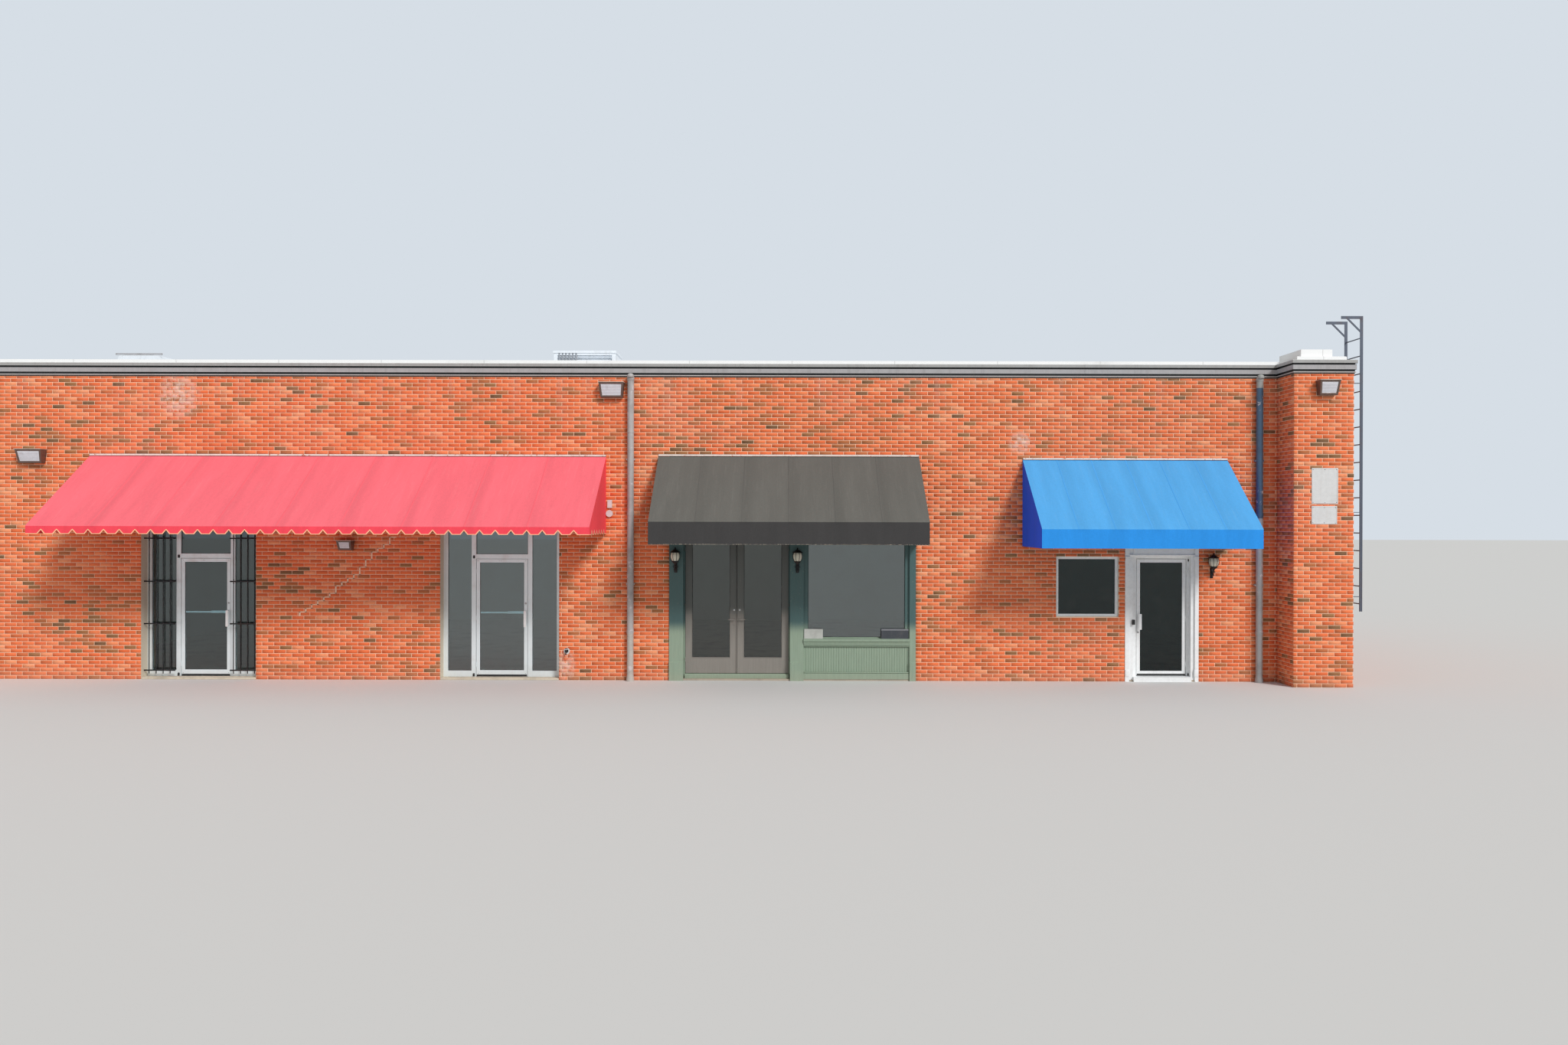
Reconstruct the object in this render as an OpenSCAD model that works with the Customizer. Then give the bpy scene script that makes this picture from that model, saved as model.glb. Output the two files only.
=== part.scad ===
// Corner shop building: one storey of brickwork with four shop entrances under
// three fabric awnings. Millimetres, +X along the front to the right, +Y into
// the building, +Z up. The origin is on the ground at the middle of the plan.
// The front is a row of bays: each width below moves all that stands to its right.

/* [Bays of the front, from left to right] */
// Brickwork from the party wall to the first shop
wall_left_w = 3050; // [2700:10:3400]
// Opening of the first shop
shop_a_w = 2040; // [1900:5:2300]
// Brickwork between the two metal shopfronts
wall_between_w = 3270; // [2900:10:3700]
// Opening of the second shop
shop_b_w = 2110; // [1950:5:2400]
// Brickwork between the second shop and the timber shopfront
wall_middle_w = 1955; // [1800:5:2200]
// Opening of the timber shopfront
shop_c_w = 4375; // [3950:5:4900]
// Brickwork from the timber shopfront to the side door, with the side window in it
wall_bay_w = 3710; // [3300:10:4200]
// Brickwork from the side door to the corner pier
wall_right_w = 1386; // [1200:2:1600]
// Width of the brick pier along the front
pier_w = 1020; // [900:10:1150]

/* [Building] */
// Depth from the front wall's face to the rear wall's face
depth = 12000; // [8000:100:16000]
// Height of the masonry under the coping
wall_h = 5580; // [5000:10:6300]
// Thickness of the outer walls
wall_t = 300; // [270:5:400]
// Thickness of the floor slab that shows above the ground
floor_t = 30; // [20:5:45]
// Underside of the brickwork over the shop openings
head_z = 2933; // [2800:1:3300]
// How far the pier stands in front of the front wall
pier_out = 660; // [500:10:800]

/* [Roof] */
// Height of the parapet above the roof deck
parapet_h = 250; // [150:10:400]
// Thickness of the roof deck
roof_t = 200; // [120:10:300]
// Thickness of the coping cap
cap_h = 36; // [20:2:60]
// How far the coping cap stands out of the wall
cap_out = 46; // [40:2:80]
// Height of the fascia below the cap
fascia_h = 200; // [170:5:300]
// How far the fascia's main band stands out of the wall
fascia_out = 34; // [26:2:40]
// Place of the louvred roof unit, from the front's left end
unit_x = 9330; // [6000:10:14000]
// Width of the roof unit
unit_w = 1370; // [1000:10:1800]
// Height of the roof unit above the roof deck
unit_h = 1270; // [1000:10:1500]
// Place of the hooded roof vent, from the front's left end
vent_x = 1400; // [900:10:4000]
// Width of the roof vent's hood
vent_w = 900; // [700:10:1200]
// Height of the roof vent above the roof deck
vent_h = 750; // [500:10:900]

/* [Side window] */
// Brickwork between the side window and the side door
window_gap = 112; // [80:2:400]
// Width of the side window's opening
window_w = 1108; // [900:1:1300]
// Height of the side window's sill above the ground
window_z = 1150; // [1000:10:1300]
// Height of the side window's opening
window_h = 1067; // [900:1:1200]

/* [Side door] */
// Width of the side door's leaf
leaf_d_w = 876; // [780:2:1000]
// Width of the casing left of the side door
casing_left_w = 149; // [110:1:180]
// Width of the casing right of the side door
casing_right_w = 132; // [110:1:180]
// Width of the frame on the lock side of the side door
jamb_left_w = 89; // [60:1:110]
// Width of the frame on the hinge side of the side door
jamb_right_w = 42; // [36:1:70]
// Height of the side door's opening above the ground
door_d_h = 2368; // [2200:1:2650]
// Height of the header board over the side door
header_h = 140; // [110:2:200]
// Height of the side door's sill above the ground
sill_d_h = 84; // [60:2:110]

/* [Metal shopfronts] */
// How far the metal frames stand back from the wall's face
front_recess = 200; // [170:5:230]
// Width of a frame member seen from the front
member_w = 80; // [60:2:92]
// Depth of a frame member
member_d = 60; // [52:2:68]
// Height of the top of the metal doors above the ground
metal_door_h = 2140; // [1950:5:2400]
// Width of the first shop's door leaf
leaf_a_w = 876; // [780:2:980]
// Width of the first shop's left sidelight
side_a_w = 440; // [380:2:500]
// Width of the second shop's door leaf
leaf_b_w = 912; // [820:2:1020]
// Width of the second shop's left sidelight
side_b_w = 422; // [380:2:480]
// Width of a metal leaf's stiles
stile_w = 62; // [50:2:80]
// Height of a metal leaf's bottom rail
kick_h = 110; // [90:2:180]
// Height of the sill member under the sidelights
base_h = 110; // [80:5:140]
// Height of the pulls above the ground
pull_z = 930; // [850:10:1050]
// Length of the pulls
pull_len = 290; // [200:10:340]

/* [Timber shopfront] */
// Width of the left post
post_left_w = 250; // [220:5:290]
// Width of the middle post between the doors and the window
post_mid_w = 240; // [210:5:290]
// Width of the right post
post_right_w = 112; // [90:2:140]
// Clear width between the left and the middle post
doors_c_w = 1896; // [1700:2:2130]
// Height of the threshold under the double doors
step_h = 112; // [90:2:140]
// How far the double doors stand back from the wall's face
doors_recess = 100; // [80:5:140]
// Height of the double doors' leaves
leaf_c_h = 2440; // [2200:5:2600]
// Width of a timber leaf's stiles
timber_stile_w = 122; // [90:2:140]
// Height of a timber leaf's bottom rail
timber_kick_h = 282; // [200:2:400]
// Height of the top of the window sill above the ground
shop_sill_z = 752; // [650:2:850]
// Thickness of the window sill
shop_sill_h = 92; // [60:2:110]
// Distance between the grooves of the boarded panel
groove_pitch = 45; // [30:1:90]
// Height of the plinths round the feet of the posts
plinth_h = 340; // [250:10:450]

/* [Awnings] */
// Thickness of an awning's fabric with its lining
cloth_t = 12; // [8:1:20]
// Side of the awning frame's square tubes
tube = 26; // [20:1:36]
// How far the first awning reaches left of the first shop's opening
red_left = 910; // [600:10:1200]
// How far the first awning reaches right of the second shop's opening
red_right = 830; // [500:10:1000]
// Height of the first awning's top edge at the wall
red_top = 3970; // [3600:10:4400]
// How far the first awning stands out
red_out = 1680; // [1400:10:1900]
// Height of the first awning's front fold
red_fold = 2740; // [2700:10:3000]
// Height of the first awning's hem
red_hem = 2600; // [2450:5:2640]
// Distance between the notches of the first awning's hem
notch_pitch = 256; // [150:2:400]
// Width of a notch at the hem
notch_w = 110; // [60:2:140]
// Height of a notch
notch_h = 74; // [40:2:90]
// How far the second awning reaches left of the timber shopfront
black_left = 195; // [150:5:400]
// How far the second awning reaches right of the timber shopfront
black_right = 50; // [40:5:300]
// Height of the second awning's top edge at the wall
black_top = 3980; // [3600:10:4400]
// How far the second awning stands out
black_out = 1500; // [1300:10:1700]
// Height of the second awning's front fold
black_fold = 2830; // [2750:10:3100]
// Height of the second awning's hem
black_hem = 2444; // [2300:2:2600]
// How far the third awning reaches left of the side window
blue_left = 600; // [400:10:800]
// How far the third awning reaches right of the side door
blue_right = 506; // [300:2:700]
// Height of the third awning's top edge at the wall
blue_top = 3930; // [3600:10:4300]
// How far the third awning stands out
blue_out = 1500; // [1300:10:1700]
// Height of the third awning's front fold
blue_fold = 2720; // [2650:10:3000]
// Height of the third awning's hem
blue_hem = 2396; // [2200:2:2500]

/* [Roof ladder] */
// Gap between the pier's face and the ladder's rails
ladder_gap = 135; // [100:5:200]
// Distance between the ladder's rails
ladder_w = 530; // [400:10:600]
// Width of the flat bar of the rails
rail_w = 50; // [40:2:70]
// Thickness of the flat bar of the rails
rail_t = 12; // [8:1:16]
// Diameter of a rung
rung_d = 20; // [16:1:28]
// Height of the ladder's foot above the ground
ladder_foot = 1300; // [900:50:1600]
// How far the ladder rises above the masonry
ladder_rise = 800; // [650:10:1100]
// Distance between rungs
rung_pitch = 305; // [280:5:340]

/* [Downspouts] */
// Outer diameter of the downspouts
spout_d = 116; // [90:2:130]
// Distance from the left downspout to the timber shopfront
spout_left_in = 680; // [600:5:750]
// Distance from the right downspout to the pier
spout_right_in = 340; // [250:5:420]

/* [Lamps] */
// Place of the left flood lamp, from the front's left end
lamp_left_x = 1150; // [500:10:1800]
// Height of the left flood lamp
lamp_left_z = 3950; // [3500:10:4500]
// Distance from the middle flood lamp to the timber shopfront
lamp_mid_in = 1015; // [950:5:1200]
// Distance from the first shop to the small lamp under the awning
lamp_small_in = 1620; // [900:10:2200]
// Height of the small lamp under the awning
lamp_small_z = 2385; // [2200:5:2480]
// How far the high flood lamps hang below the masonry's top
lamp_drop = 440; // [380:10:700]
// Distance from the lantern to the side door
lantern_in = 228; // [180:2:400]

/* [Hidden] */
$fn = 48;
// clearance round a moving leaf, and the small one where a still piece is seated
gap = 8;
seat = 0.3;

// bay edges along the front, measured from its left end
shop_a_x = wall_left_w;
shop_b_x = shop_a_x + shop_a_w + wall_between_w;
shop_c_x = shop_b_x + shop_b_w + wall_middle_w;
door_d_x = shop_c_x + shop_c_w + wall_bay_w;
door_d_w = casing_left_w + jamb_left_w + leaf_d_w + 2 * gap + jamb_right_w + casing_right_w;
window_x = door_d_x - window_gap - window_w;
front_w = door_d_x + door_d_w + wall_right_w + pier_w;

left = -front_w / 2;
right = front_w / 2;
front = -depth / 2;
rear = depth / 2;
pier_left = right - pier_w;
pier_front = front - pier_out;
wall_back = front + wall_t;
roof_z = wall_h - parapet_h;
cap_top = wall_h + seat + cap_h;

// metal shopfronts and what all the leaves share
frame_front = front + front_recess;
frame_back = frame_front + member_d;
transom_z = metal_door_h + gap;
leaf_t = 44;
leaf_in = 4;
bead = 9;
bead_d = 5;
glass_t = 8;
glass_z = 20;
hinge_r = 7;
hinge_out = hinge_r + 1;
knuckle_h = 40;
plate_t = 3;
hinge_plate_w = 36;
HINGE_AT = [0.1, 0.5, 0.9];
stop_w = 20;
stop_d = 6;
grip = 18;
pull_off = 44;

// timber shopfront
jamb_c = 22;
post_out = 20;
plinth_out = 18;
timber_t = 90;
groove_d = 5;
groove_w = 9;
window_bead = 80;
window_edge = 20;
pane_in = 62;
doors_y = front + doors_recess;
leaf_c_w = (doors_c_w - 3 * gap - 2 * jamb_c) / 2;
leaf_c_y = doors_y + leaf_in;
leaf_c_z = step_h + gap;
c_left = left + shop_c_x;
c_right = c_left + shop_c_w;
c_doors = c_left + post_left_w;
c_mid = c_doors + doors_c_w;
c_window = c_mid + post_mid_w;
c_window_r = c_right - post_right_w;
c_head = step_h + leaf_c_h + 2 * gap;
leaf_c_left = c_doors + jamb_c + gap;
leaf_c_right = leaf_c_left + leaf_c_w + gap;

// side door
d_left = left + door_d_x;
d_right = d_left + door_d_w;
d_frame_y = front + 120;
d_frame_t = 70;
d_casing_out = 15;
d_sill_out = 40;
d_kick = 80;
d_leaf_x = d_left + casing_left_w + jamb_left_w + gap;
d_leaf_z = sill_d_h + gap;
d_leaf_h = door_d_h - header_h - jamb_right_w - 2 * gap - d_leaf_z;
d_leaf_y = d_frame_y + leaf_in;

// side window
window_in = 40;
window_d = 80;
window_side = 50;
window_rail = 46;

// leaves of the metal shopfronts
leaf_a_x = left + shop_a_x + 2 * member_w + side_a_w + gap;
leaf_b_x = left + shop_b_x + 2 * member_w + side_b_w + gap;
metal_leaf_z = floor_t + gap;
metal_leaf_h = metal_door_h - metal_leaf_z;
metal_leaf_y = frame_front + leaf_in;

// A box between two corners
module block(low, high) {
    translate(low) cube(high - low);
}

// A solid along the front, w long, whose side outline is given as distance out of the wall and height
module out_of_wall(w) {
    rotate([90, 0, 90]) linear_extrude(w) mirror([1, 0]) children();
}

// A box of wall on the front, from and to measured from the front's left end
module front_piece(x_from, x_to, z_from, z_to) {
    block([left + x_from, front, z_from], [left + x_to, wall_back, z_to]);
}

module floor_slab() {
    color([0.55, 0.53, 0.50]) {
        block([left + wall_t, wall_back, 0], [right - wall_t, rear - wall_t, floor_t]);
        for (o = [[shop_a_x, shop_a_w], [shop_b_x, shop_b_w], [shop_c_x, shop_c_w], [door_d_x, door_d_w]])
            block([left + o[0], front, 0], [left + o[0] + o[1], wall_back, floor_t]);
    }
}

module front_wall_left() {
    color([0.76, 0.40, 0.24]) front_piece(0, shop_a_x, 0, head_z);
}

module front_wall_between_shops() {
    color([0.76, 0.40, 0.24]) front_piece(shop_a_x + shop_a_w, shop_b_x, 0, head_z);
}

module front_wall_middle() {
    color([0.76, 0.40, 0.24]) front_piece(shop_b_x + shop_b_w, shop_c_x, 0, head_z);
}

// The bay between the timber shopfront and the side door, with the side window cut through
module front_wall_window_bay() {
    color([0.76, 0.40, 0.24]) difference() {
        front_piece(shop_c_x + shop_c_w, door_d_x, 0, head_z);
        translate([left + window_x, front - 1, window_z]) cube([window_w, wall_t + 2, window_h]);
    }
}

// The bay right of the side door, with the brickwork over that door
module front_wall_right() {
    color([0.76, 0.40, 0.24]) {
        front_piece(door_d_x + door_d_w, front_w - pier_w, 0, head_z);
        front_piece(door_d_x, door_d_x + door_d_w, door_d_h, head_z);
    }
}

module front_wall_upper() {
    color([0.78, 0.42, 0.25]) front_piece(0, front_w - pier_w, head_z, wall_h);
}

module corner_pier() {
    color([0.72, 0.37, 0.23]) block([pier_left, pier_front, 0], [right, wall_back, wall_h]);
}

module side_wall_right() {
    color([0.72, 0.37, 0.23]) block([right - wall_t, wall_back, 0], [right, rear - wall_t, wall_h]);
}

module rear_wall() {
    color([0.72, 0.37, 0.23]) block([left, rear - wall_t, 0], [right, rear, wall_h]);
}

module party_wall_left() {
    color([0.70, 0.37, 0.25]) block([left, wall_back, 0], [left + wall_t, rear - wall_t, wall_h]);
}

module roof_deck() {
    color([0.80, 0.79, 0.76])
        block([left + wall_t, wall_back, roof_z - roof_t], [right - wall_t, rear - wall_t, roof_z]);
}

// The plan of the building's outer edge, grown by a distance
function outline(grow) = [
    [left - grow, front - grow],
    [pier_left - grow, front - grow],
    [pier_left - grow, pier_front - grow],
    [right + grow, pier_front - grow],
    [right + grow, rear + grow],
    [left - grow, rear + grow]
];

// The runs that the parapet's trim is laid in, as low and high corners of their plan
far = 1000;
pier_joint = pier_left - cap_out;
RUNS = [
    [[left - far, front - far], [pier_joint - seat, wall_back]],
    [[pier_joint, pier_front - far], [right + far, wall_back]],
    [[right - wall_t - far, wall_back + seat], [right + far, rear - wall_t - seat]],
    [[left - far, rear - wall_t], [right + far, rear + far]],
    [[left - far, wall_back + seat], [left + wall_t + far, rear - wall_t - seat]]
];

// What is drawn as one ring, cut into runs with a fine joint between them
module in_runs(runs) {
    for (run = runs)
        intersection() {
            translate([run[0][0], run[0][1], 0]) cube([run[1][0] - run[0][0], run[1][1] - run[0][1], wall_h + far]);
            children();
        }
}

// The same for the fascia's straight lengths, which stand wholly in front of the walls
FASCIA_RUNS = [
    [[left - far, front - far], [pier_joint - seat, front]],
    [[pier_joint, pier_front - far], [pier_left, front]],
    [[pier_left + seat, pier_front - far], [right + far, pier_front]],
    [[right, pier_front + seat], [right + far, rear - seat]],
    [[left - far, rear], [right + far, rear + far]],
    [[left - far, front + seat], [left, rear - seat]]
];

// One band of the coping, between two heights, standing out of the wall
module coping_band(grow, z_from, z_to) {
    translate([0, 0, z_from]) linear_extrude(z_to - z_from) difference() {
        polygon(outline(grow));
        polygon(outline(seat));
    }
}

// The bands from the cap down: turned-down edge, upper groove, main band, lower groove, bead and foot
edge_h = 22;
upper_groove_h = 20;
lower_groove_h = 34;
bead_h = 16;
foot_h = 20;
groove_in = 20;
bead_in = 6;
foot_in = 22;

module coping() {
    edge_z = wall_h - edge_h;
    main_top = edge_z - upper_groove_h;
    foot_z = wall_h - fascia_h;
    bead_z = foot_z + foot_h;
    main_z = bead_z + bead_h + lower_groove_h;
    color([0.62, 0.61, 0.62]) {
        in_runs(RUNS) translate([0, 0, wall_h + seat]) linear_extrude(cap_h) difference() {
            polygon(outline(cap_out));
            translate([left + wall_t, wall_back]) square([front_w - 2 * wall_t, depth - 2 * wall_t]);
        }
        in_runs(FASCIA_RUNS) union() {
            coping_band(cap_out, edge_z, wall_h);
            coping_band(fascia_out - groove_in, main_top, edge_z);
            coping_band(fascia_out, main_z, main_top);
            coping_band(fascia_out - groove_in, bead_z + bead_h, main_z);
            coping_band(fascia_out - bead_in, bead_z, bead_z + bead_h);
            coping_band(fascia_out - foot_in, foot_z, bead_z);
        }
    }
}

// The membrane-covered upstand behind the coping, and its blocks over the corner pier
block_in = 170;
block_w = 540;
block_h = 198;
low_block_w = 250;
low_block_h = 74;
block_len = 840;
block_back = 120;
upstand_back = 90;
upstand_t = 80;
upstand_h = 74;

module parapet_blocks() {
    top = cap_top + seat;
    x0 = pier_left + block_in;
    x1 = x0 + block_w;
    y0 = pier_front + block_back;
    color([0.88, 0.88, 0.87]) {
        in_runs(RUNS) translate([0, 0, top]) linear_extrude(upstand_h) difference() {
            polygon(outline(-upstand_back));
            polygon(outline(-upstand_back - upstand_t));
            translate([x0 - seat, y0 - seat])
                square([block_w + low_block_w + 2 * seat, block_len + 2 * seat]);
        }
        block([x0, y0, top], [x1, y0 + block_len, top + block_h]);
        block([x1, y0, top], [x1 + low_block_w, y0 + block_len, top + low_block_h]);
    }
}

// The louvred roof unit on its curb
unit_back = 5000;
unit_d = 900;
unit_curb = 220;
unit_lip = 50;
unit_lid = 40;
louvre_n = 9;
louvre_border = 80;
louvre_d = 90;

module roof_unit() {
    x0 = left + unit_x;
    y0 = front + unit_back;
    z0 = roof_z + seat;
    top = roof_z + unit_h;
    face_z = z0 + unit_curb + louvre_d;
    face_h = top - louvre_d - face_z;
    color([0.68, 0.69, 0.68]) {
        difference() {
            union() {
                block([x0 + unit_lip, y0 + unit_lip, z0],
                      [x0 + unit_w - unit_lip, y0 + unit_d - unit_lip, z0 + unit_curb]);
                block([x0, y0, z0 + unit_curb], [x0 + unit_w, y0 + unit_d, top - unit_lid]);
                block([x0 - unit_lid / 2, y0 - unit_lid / 2, top - unit_lid],
                      [x0 + unit_w + unit_lid / 2, y0 + unit_d + unit_lid / 2, top]);
            }
            block([x0 + louvre_border, y0 - 1, face_z],
                  [x0 + unit_w - louvre_border, y0 + louvre_d, face_z + face_h]);
        }
        for (i = [0 : louvre_n - 1])
            translate([x0 + louvre_border, y0 + 12, face_z + (i + 0.5) * face_h / louvre_n])
                rotate([40, 0, 0]) cube([unit_w - 2 * louvre_border, 70, 10]);
    }
}

// The low hooded roof vent: a throat under a wider hood with a ridge
vent_back = 2000;
vent_throat_in = 120;
vent_hood_h = 150;
vent_eave = 110;

module roof_vent() {
    x0 = left + vent_x;
    y0 = front + vent_back;
    z0 = roof_z + seat;
    hood_z = roof_z + vent_h - vent_hood_h;
    color([0.70, 0.71, 0.70]) {
        block([x0 + vent_throat_in, y0 + vent_throat_in, z0],
              [x0 + vent_w - vent_throat_in, y0 + vent_w - vent_throat_in, hood_z]);
        translate([x0, y0 + vent_w, hood_z]) rotate([90, 0, 0]) linear_extrude(vent_w)
            polygon([[0, 0], [vent_w, 0], [vent_w - 60, vent_eave], [vent_w / 2, vent_hood_h],
                     [60, vent_eave]]);
    }
}

// The roof ladder on the pier's outer face: rails, rungs, wall brackets and the arms over the parapet
bracket_w = 50;
bracket_t = 10;
bracket_plate_h = 120;
first_rung = 130;
knee = 190;

module roof_ladder() {
    top = wall_h + ladder_rise;
    x0 = right + ladder_gap;
    y_near = pier_front + 60;
    elbow = knee + 40;
    rungs = floor((top - 420 - ladder_foot) / rung_pitch);
    bracket_z = [ladder_foot + 250, (ladder_foot + wall_h) / 2 - 440, wall_h - fascia_h - 160];
    color([0.42, 0.43, 0.46]) {
        for (y = [y_near, y_near + ladder_w]) {
            block([x0, y - rail_t / 2, ladder_foot], [x0 + rail_w, y + rail_t / 2, top]);
            block([x0 - ladder_gap - knee, y - rail_t / 2, top - rail_w], [x0, y + rail_t / 2, top]);
            translate([x0 - elbow, y - rail_t / 2, top - rail_w]) rotate([-90, 0, 0])
                linear_extrude(rail_t) polygon([[0, 0], [elbow - knee, 0], [elbow, knee], [elbow, elbow]]);
            for (z = bracket_z) {
                block([right + seat, y - bracket_w / 2, z], [x0, y + bracket_w / 2, z + bracket_t]);
                block([right + seat, y - bracket_w / 2, z - bracket_plate_h / 2],
                      [right + bracket_t, y + bracket_w / 2, z + bracket_plate_h / 2]);
            }
        }
        for (i = [0 : rungs])
            translate([x0 + rail_w / 2, y_near, ladder_foot + first_rung + i * rung_pitch])
                rotate([-90, 0, 0]) cylinder(d = rung_d, h = ladder_w, $fn = 24);
    }
}

// One downspout: the long pipe with its collars, straps and foot, and the outlet under the fascia
spout_gap = 18;
collar_h = 60;
collar_out = 6;
strap_h = 30;
foot_collar_z = 850;
strap_up = 970;

module downspout(x) {
    r = spout_d / 2;
    top = wall_h - fascia_h - 2;
    translate([x, front - r - spout_gap, 0]) {
        cylinder(d = spout_d, h = top);
        cylinder(r1 = r + collar_out + 8, r2 = r, h = 2 * collar_h);
        for (z = [foot_collar_z, head_z, top - collar_h])
            translate([0, 0, z]) cylinder(r = r + collar_out, h = collar_h);
        for (z = [2 * foot_collar_z, head_z + strap_up])
            block([-r - 14, -8, z], [r + 14, r + spout_gap - seat, z + strap_h]);
    }
}

module downspouts() {
    color([0.58, 0.56, 0.62]) {
        downspout(c_left - spout_left_in);
        downspout(pier_left - spout_right_in);
    }
}

// The side outline of an awning, as distance in front of the wall and height
function awning_side(out, top, fold, hem) = [[seat, hem], [seat, top], [out, fold], [out, hem]];

// The same outline inside the fabric, open below and behind
function awning_inside(out, top, fold, hem) = [
    [-1, hem - 1],
    [-1, top - cloth_t * 1.25],
    [seat, top - cloth_t * 1.25],
    [out - cloth_t, fold - cloth_t * 0.4],
    [out - cloth_t, hem - 1]
];

// One notch of a cut hem, as a prism that passes through the fabric
module notch(len) {
    rotate([90, 0, 0]) linear_extrude(len) polygon([[-notch_w / 2, -1], [notch_w / 2, -1], [0, notch_h]]);
}

// The notches of a cut hem, across the front and along both ends
module notches(w, out, hem) {
    across = round(w / notch_pitch);
    along = round(out / notch_pitch);
    for (i = [1 : across - 1])
        translate([i * w / across, cloth_t + 1 - out, hem]) notch(cloth_t + 2);
    for (i = [1 : along - 1])
        translate([-1, -i * out / along, hem]) rotate([0, 0, 90]) notch(w + 2);
}

// A fabric awning: a sloping roof, a front valance and two end panels
module awning(x, w, out, top, fold, hem, cut_hem) {
    translate([x, front, 0]) difference() {
        out_of_wall(w) polygon(awning_side(out, top, fold, hem));
        translate([cloth_t, 0, 0]) out_of_wall(w - 2 * cloth_t) polygon(awning_inside(out, top, fold, hem));
        if (cut_hem) notches(w, out, hem);
    }
}

// Height of the cloth's underside at a distance in front of the wall
function under(p, out, top, fold) =
    top - cloth_t * 1.25 + (fold - top + cloth_t * 0.85) * p / (out - cloth_t) - 2 * seat;

// The tube frame inside an awning: wall bar, fold bar, rafters and an arm at each end,
// with a lower bar on uprights where the valance is stiff, and a rail along the top edge
rail_h = 30;
rail_d = 20;
bar_up = 40;

module awning_frame(x, w, out, top, fold, hem, rafters, stiff) {
    in = cloth_t + seat;
    back = out - in - tube;
    hi = under(tube + seat, out, top, fold);
    lo = under(out - in, out, top, fold);
    p0 = tube + 2 * seat;
    p1 = back - seat;
    arm_z = stiff ? hem + bar_up : lo - 2 * tube - seat;
    arm_end = stiff ? back - seat : back + tube;
    pitch = (w - 2 * in - tube) / (rafters - 1);
    translate([x, front, 0]) {
        block([0, -rail_d, top + seat], [w, -seat, top + seat + rail_h]);
        block([in, -tube - seat, hi - tube], [w - in, -seat, hi]);
        block([in, -back - tube, lo - tube], [w - in, -back, lo]);
        if (stiff)
            block([in, -back - tube, arm_z], [w - in, -back, arm_z + tube]);
        for (i = [0 : rafters - 1])
            translate([in + i * pitch, 0, 0]) {
                out_of_wall(tube)
                    polygon([[p0, under(p0, out, top, fold) - tube], [p0, under(p0, out, top, fold)],
                             [p1, under(p1, out, top, fold)], [p1, under(p1, out, top, fold) - tube]]);
                if (stiff)
                    block([0, -back - tube, arm_z + tube + seat], [tube, -back, lo - tube - seat]);
            }
        for (i = [0, rafters - 1])
            translate([in + i * pitch, 0, 0]) block([0, -arm_end, arm_z], [tube, -seat, arm_z + tube]);
    }
}

red_x = left + shop_a_x - red_left;
red_w = shop_b_x + shop_b_w + red_right - shop_a_x + red_left;
black_x = c_left - black_left;
black_w = shop_c_w + black_left + black_right;
blue_x = left + window_x - blue_left;
blue_w = blue_left + window_w + window_gap + door_d_w + blue_right;

module red_awning() {
    color([0.93, 0.28, 0.33]) awning(red_x, red_w, red_out, red_top, red_fold, red_hem, true);
}

module red_awning_frame() {
    color([0.35, 0.35, 0.36])
        awning_frame(red_x, red_w, red_out, red_top, red_fold, red_hem, 6, false);
}

module black_awning() {
    color([0.28, 0.28, 0.28]) awning(black_x, black_w, black_out, black_top, black_fold, black_hem, false);
}

module black_awning_frame() {
    color([0.35, 0.35, 0.36])
        awning_frame(black_x, black_w, black_out, black_top, black_fold, black_hem, 4, true);
}

module blue_awning() {
    color([0.22, 0.55, 0.90]) awning(blue_x, blue_w, blue_out, blue_top, blue_fold, blue_hem, false);
}

module blue_awning_frame() {
    color([0.35, 0.35, 0.36])
        awning_frame(blue_x, blue_w, blue_out, blue_top, blue_fold, blue_hem, 3, true);
}

// A metal shopfront: jambs, head, transom bar, door mullions and sills under the sidelights
module shopfront_frame(x, w, side, leaf) {
    y0 = frame_front;
    y1 = frame_back;
    x0 = left + x + seat;
    x1 = left + x + w - seat;
    door_l = left + x + member_w + side + member_w;
    door_r = door_l + leaf + 2 * gap;
    top = head_z - seat;
    bottom = floor_t + seat;
    block([x0, y0, bottom], [x0 + member_w, y1, top]);
    block([x1 - member_w, y0, bottom], [x1, y1, top]);
    block([door_l - member_w, y0, bottom], [door_l, y1, top]);
    block([door_r, y0, bottom], [door_r + member_w, y1, top]);
    for (span = [[x0 + member_w, door_l - member_w], [door_l, door_r], [door_r + member_w, x1 - member_w]])
        block([span[0], y0, top - member_w], [span[1], y1, top]);
    block([door_l, y0, transom_z], [door_r, y1, transom_z + member_w]);
    block([x0 + member_w, y0, bottom], [door_l - member_w, y1, bottom + base_h]);
    block([door_r + member_w, y0, bottom], [x1 - member_w, y1, bottom + base_h]);
    frame_knuckles(door_l + gap / 2, y0, metal_leaf_z, metal_leaf_h, 1);
    // stops behind the leaf
    block([door_l, y1 - stop_d, bottom], [door_l + stop_w, y1, transom_z]);
    block([door_r - stop_w, y1 - stop_d, bottom], [door_r, y1, transom_z]);
    block([door_l, y1 - stop_d, transom_z - stop_w], [door_r, y1, transom_z]);
}

module shop_a_frame() {
    color([0.66, 0.65, 0.64]) shopfront_frame(shop_a_x, shop_a_w, side_a_w, leaf_a_w);
}

module shop_b_frame() {
    color([0.66, 0.65, 0.64]) shopfront_frame(shop_b_x, shop_b_w, side_b_w, leaf_b_w);
}

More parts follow.
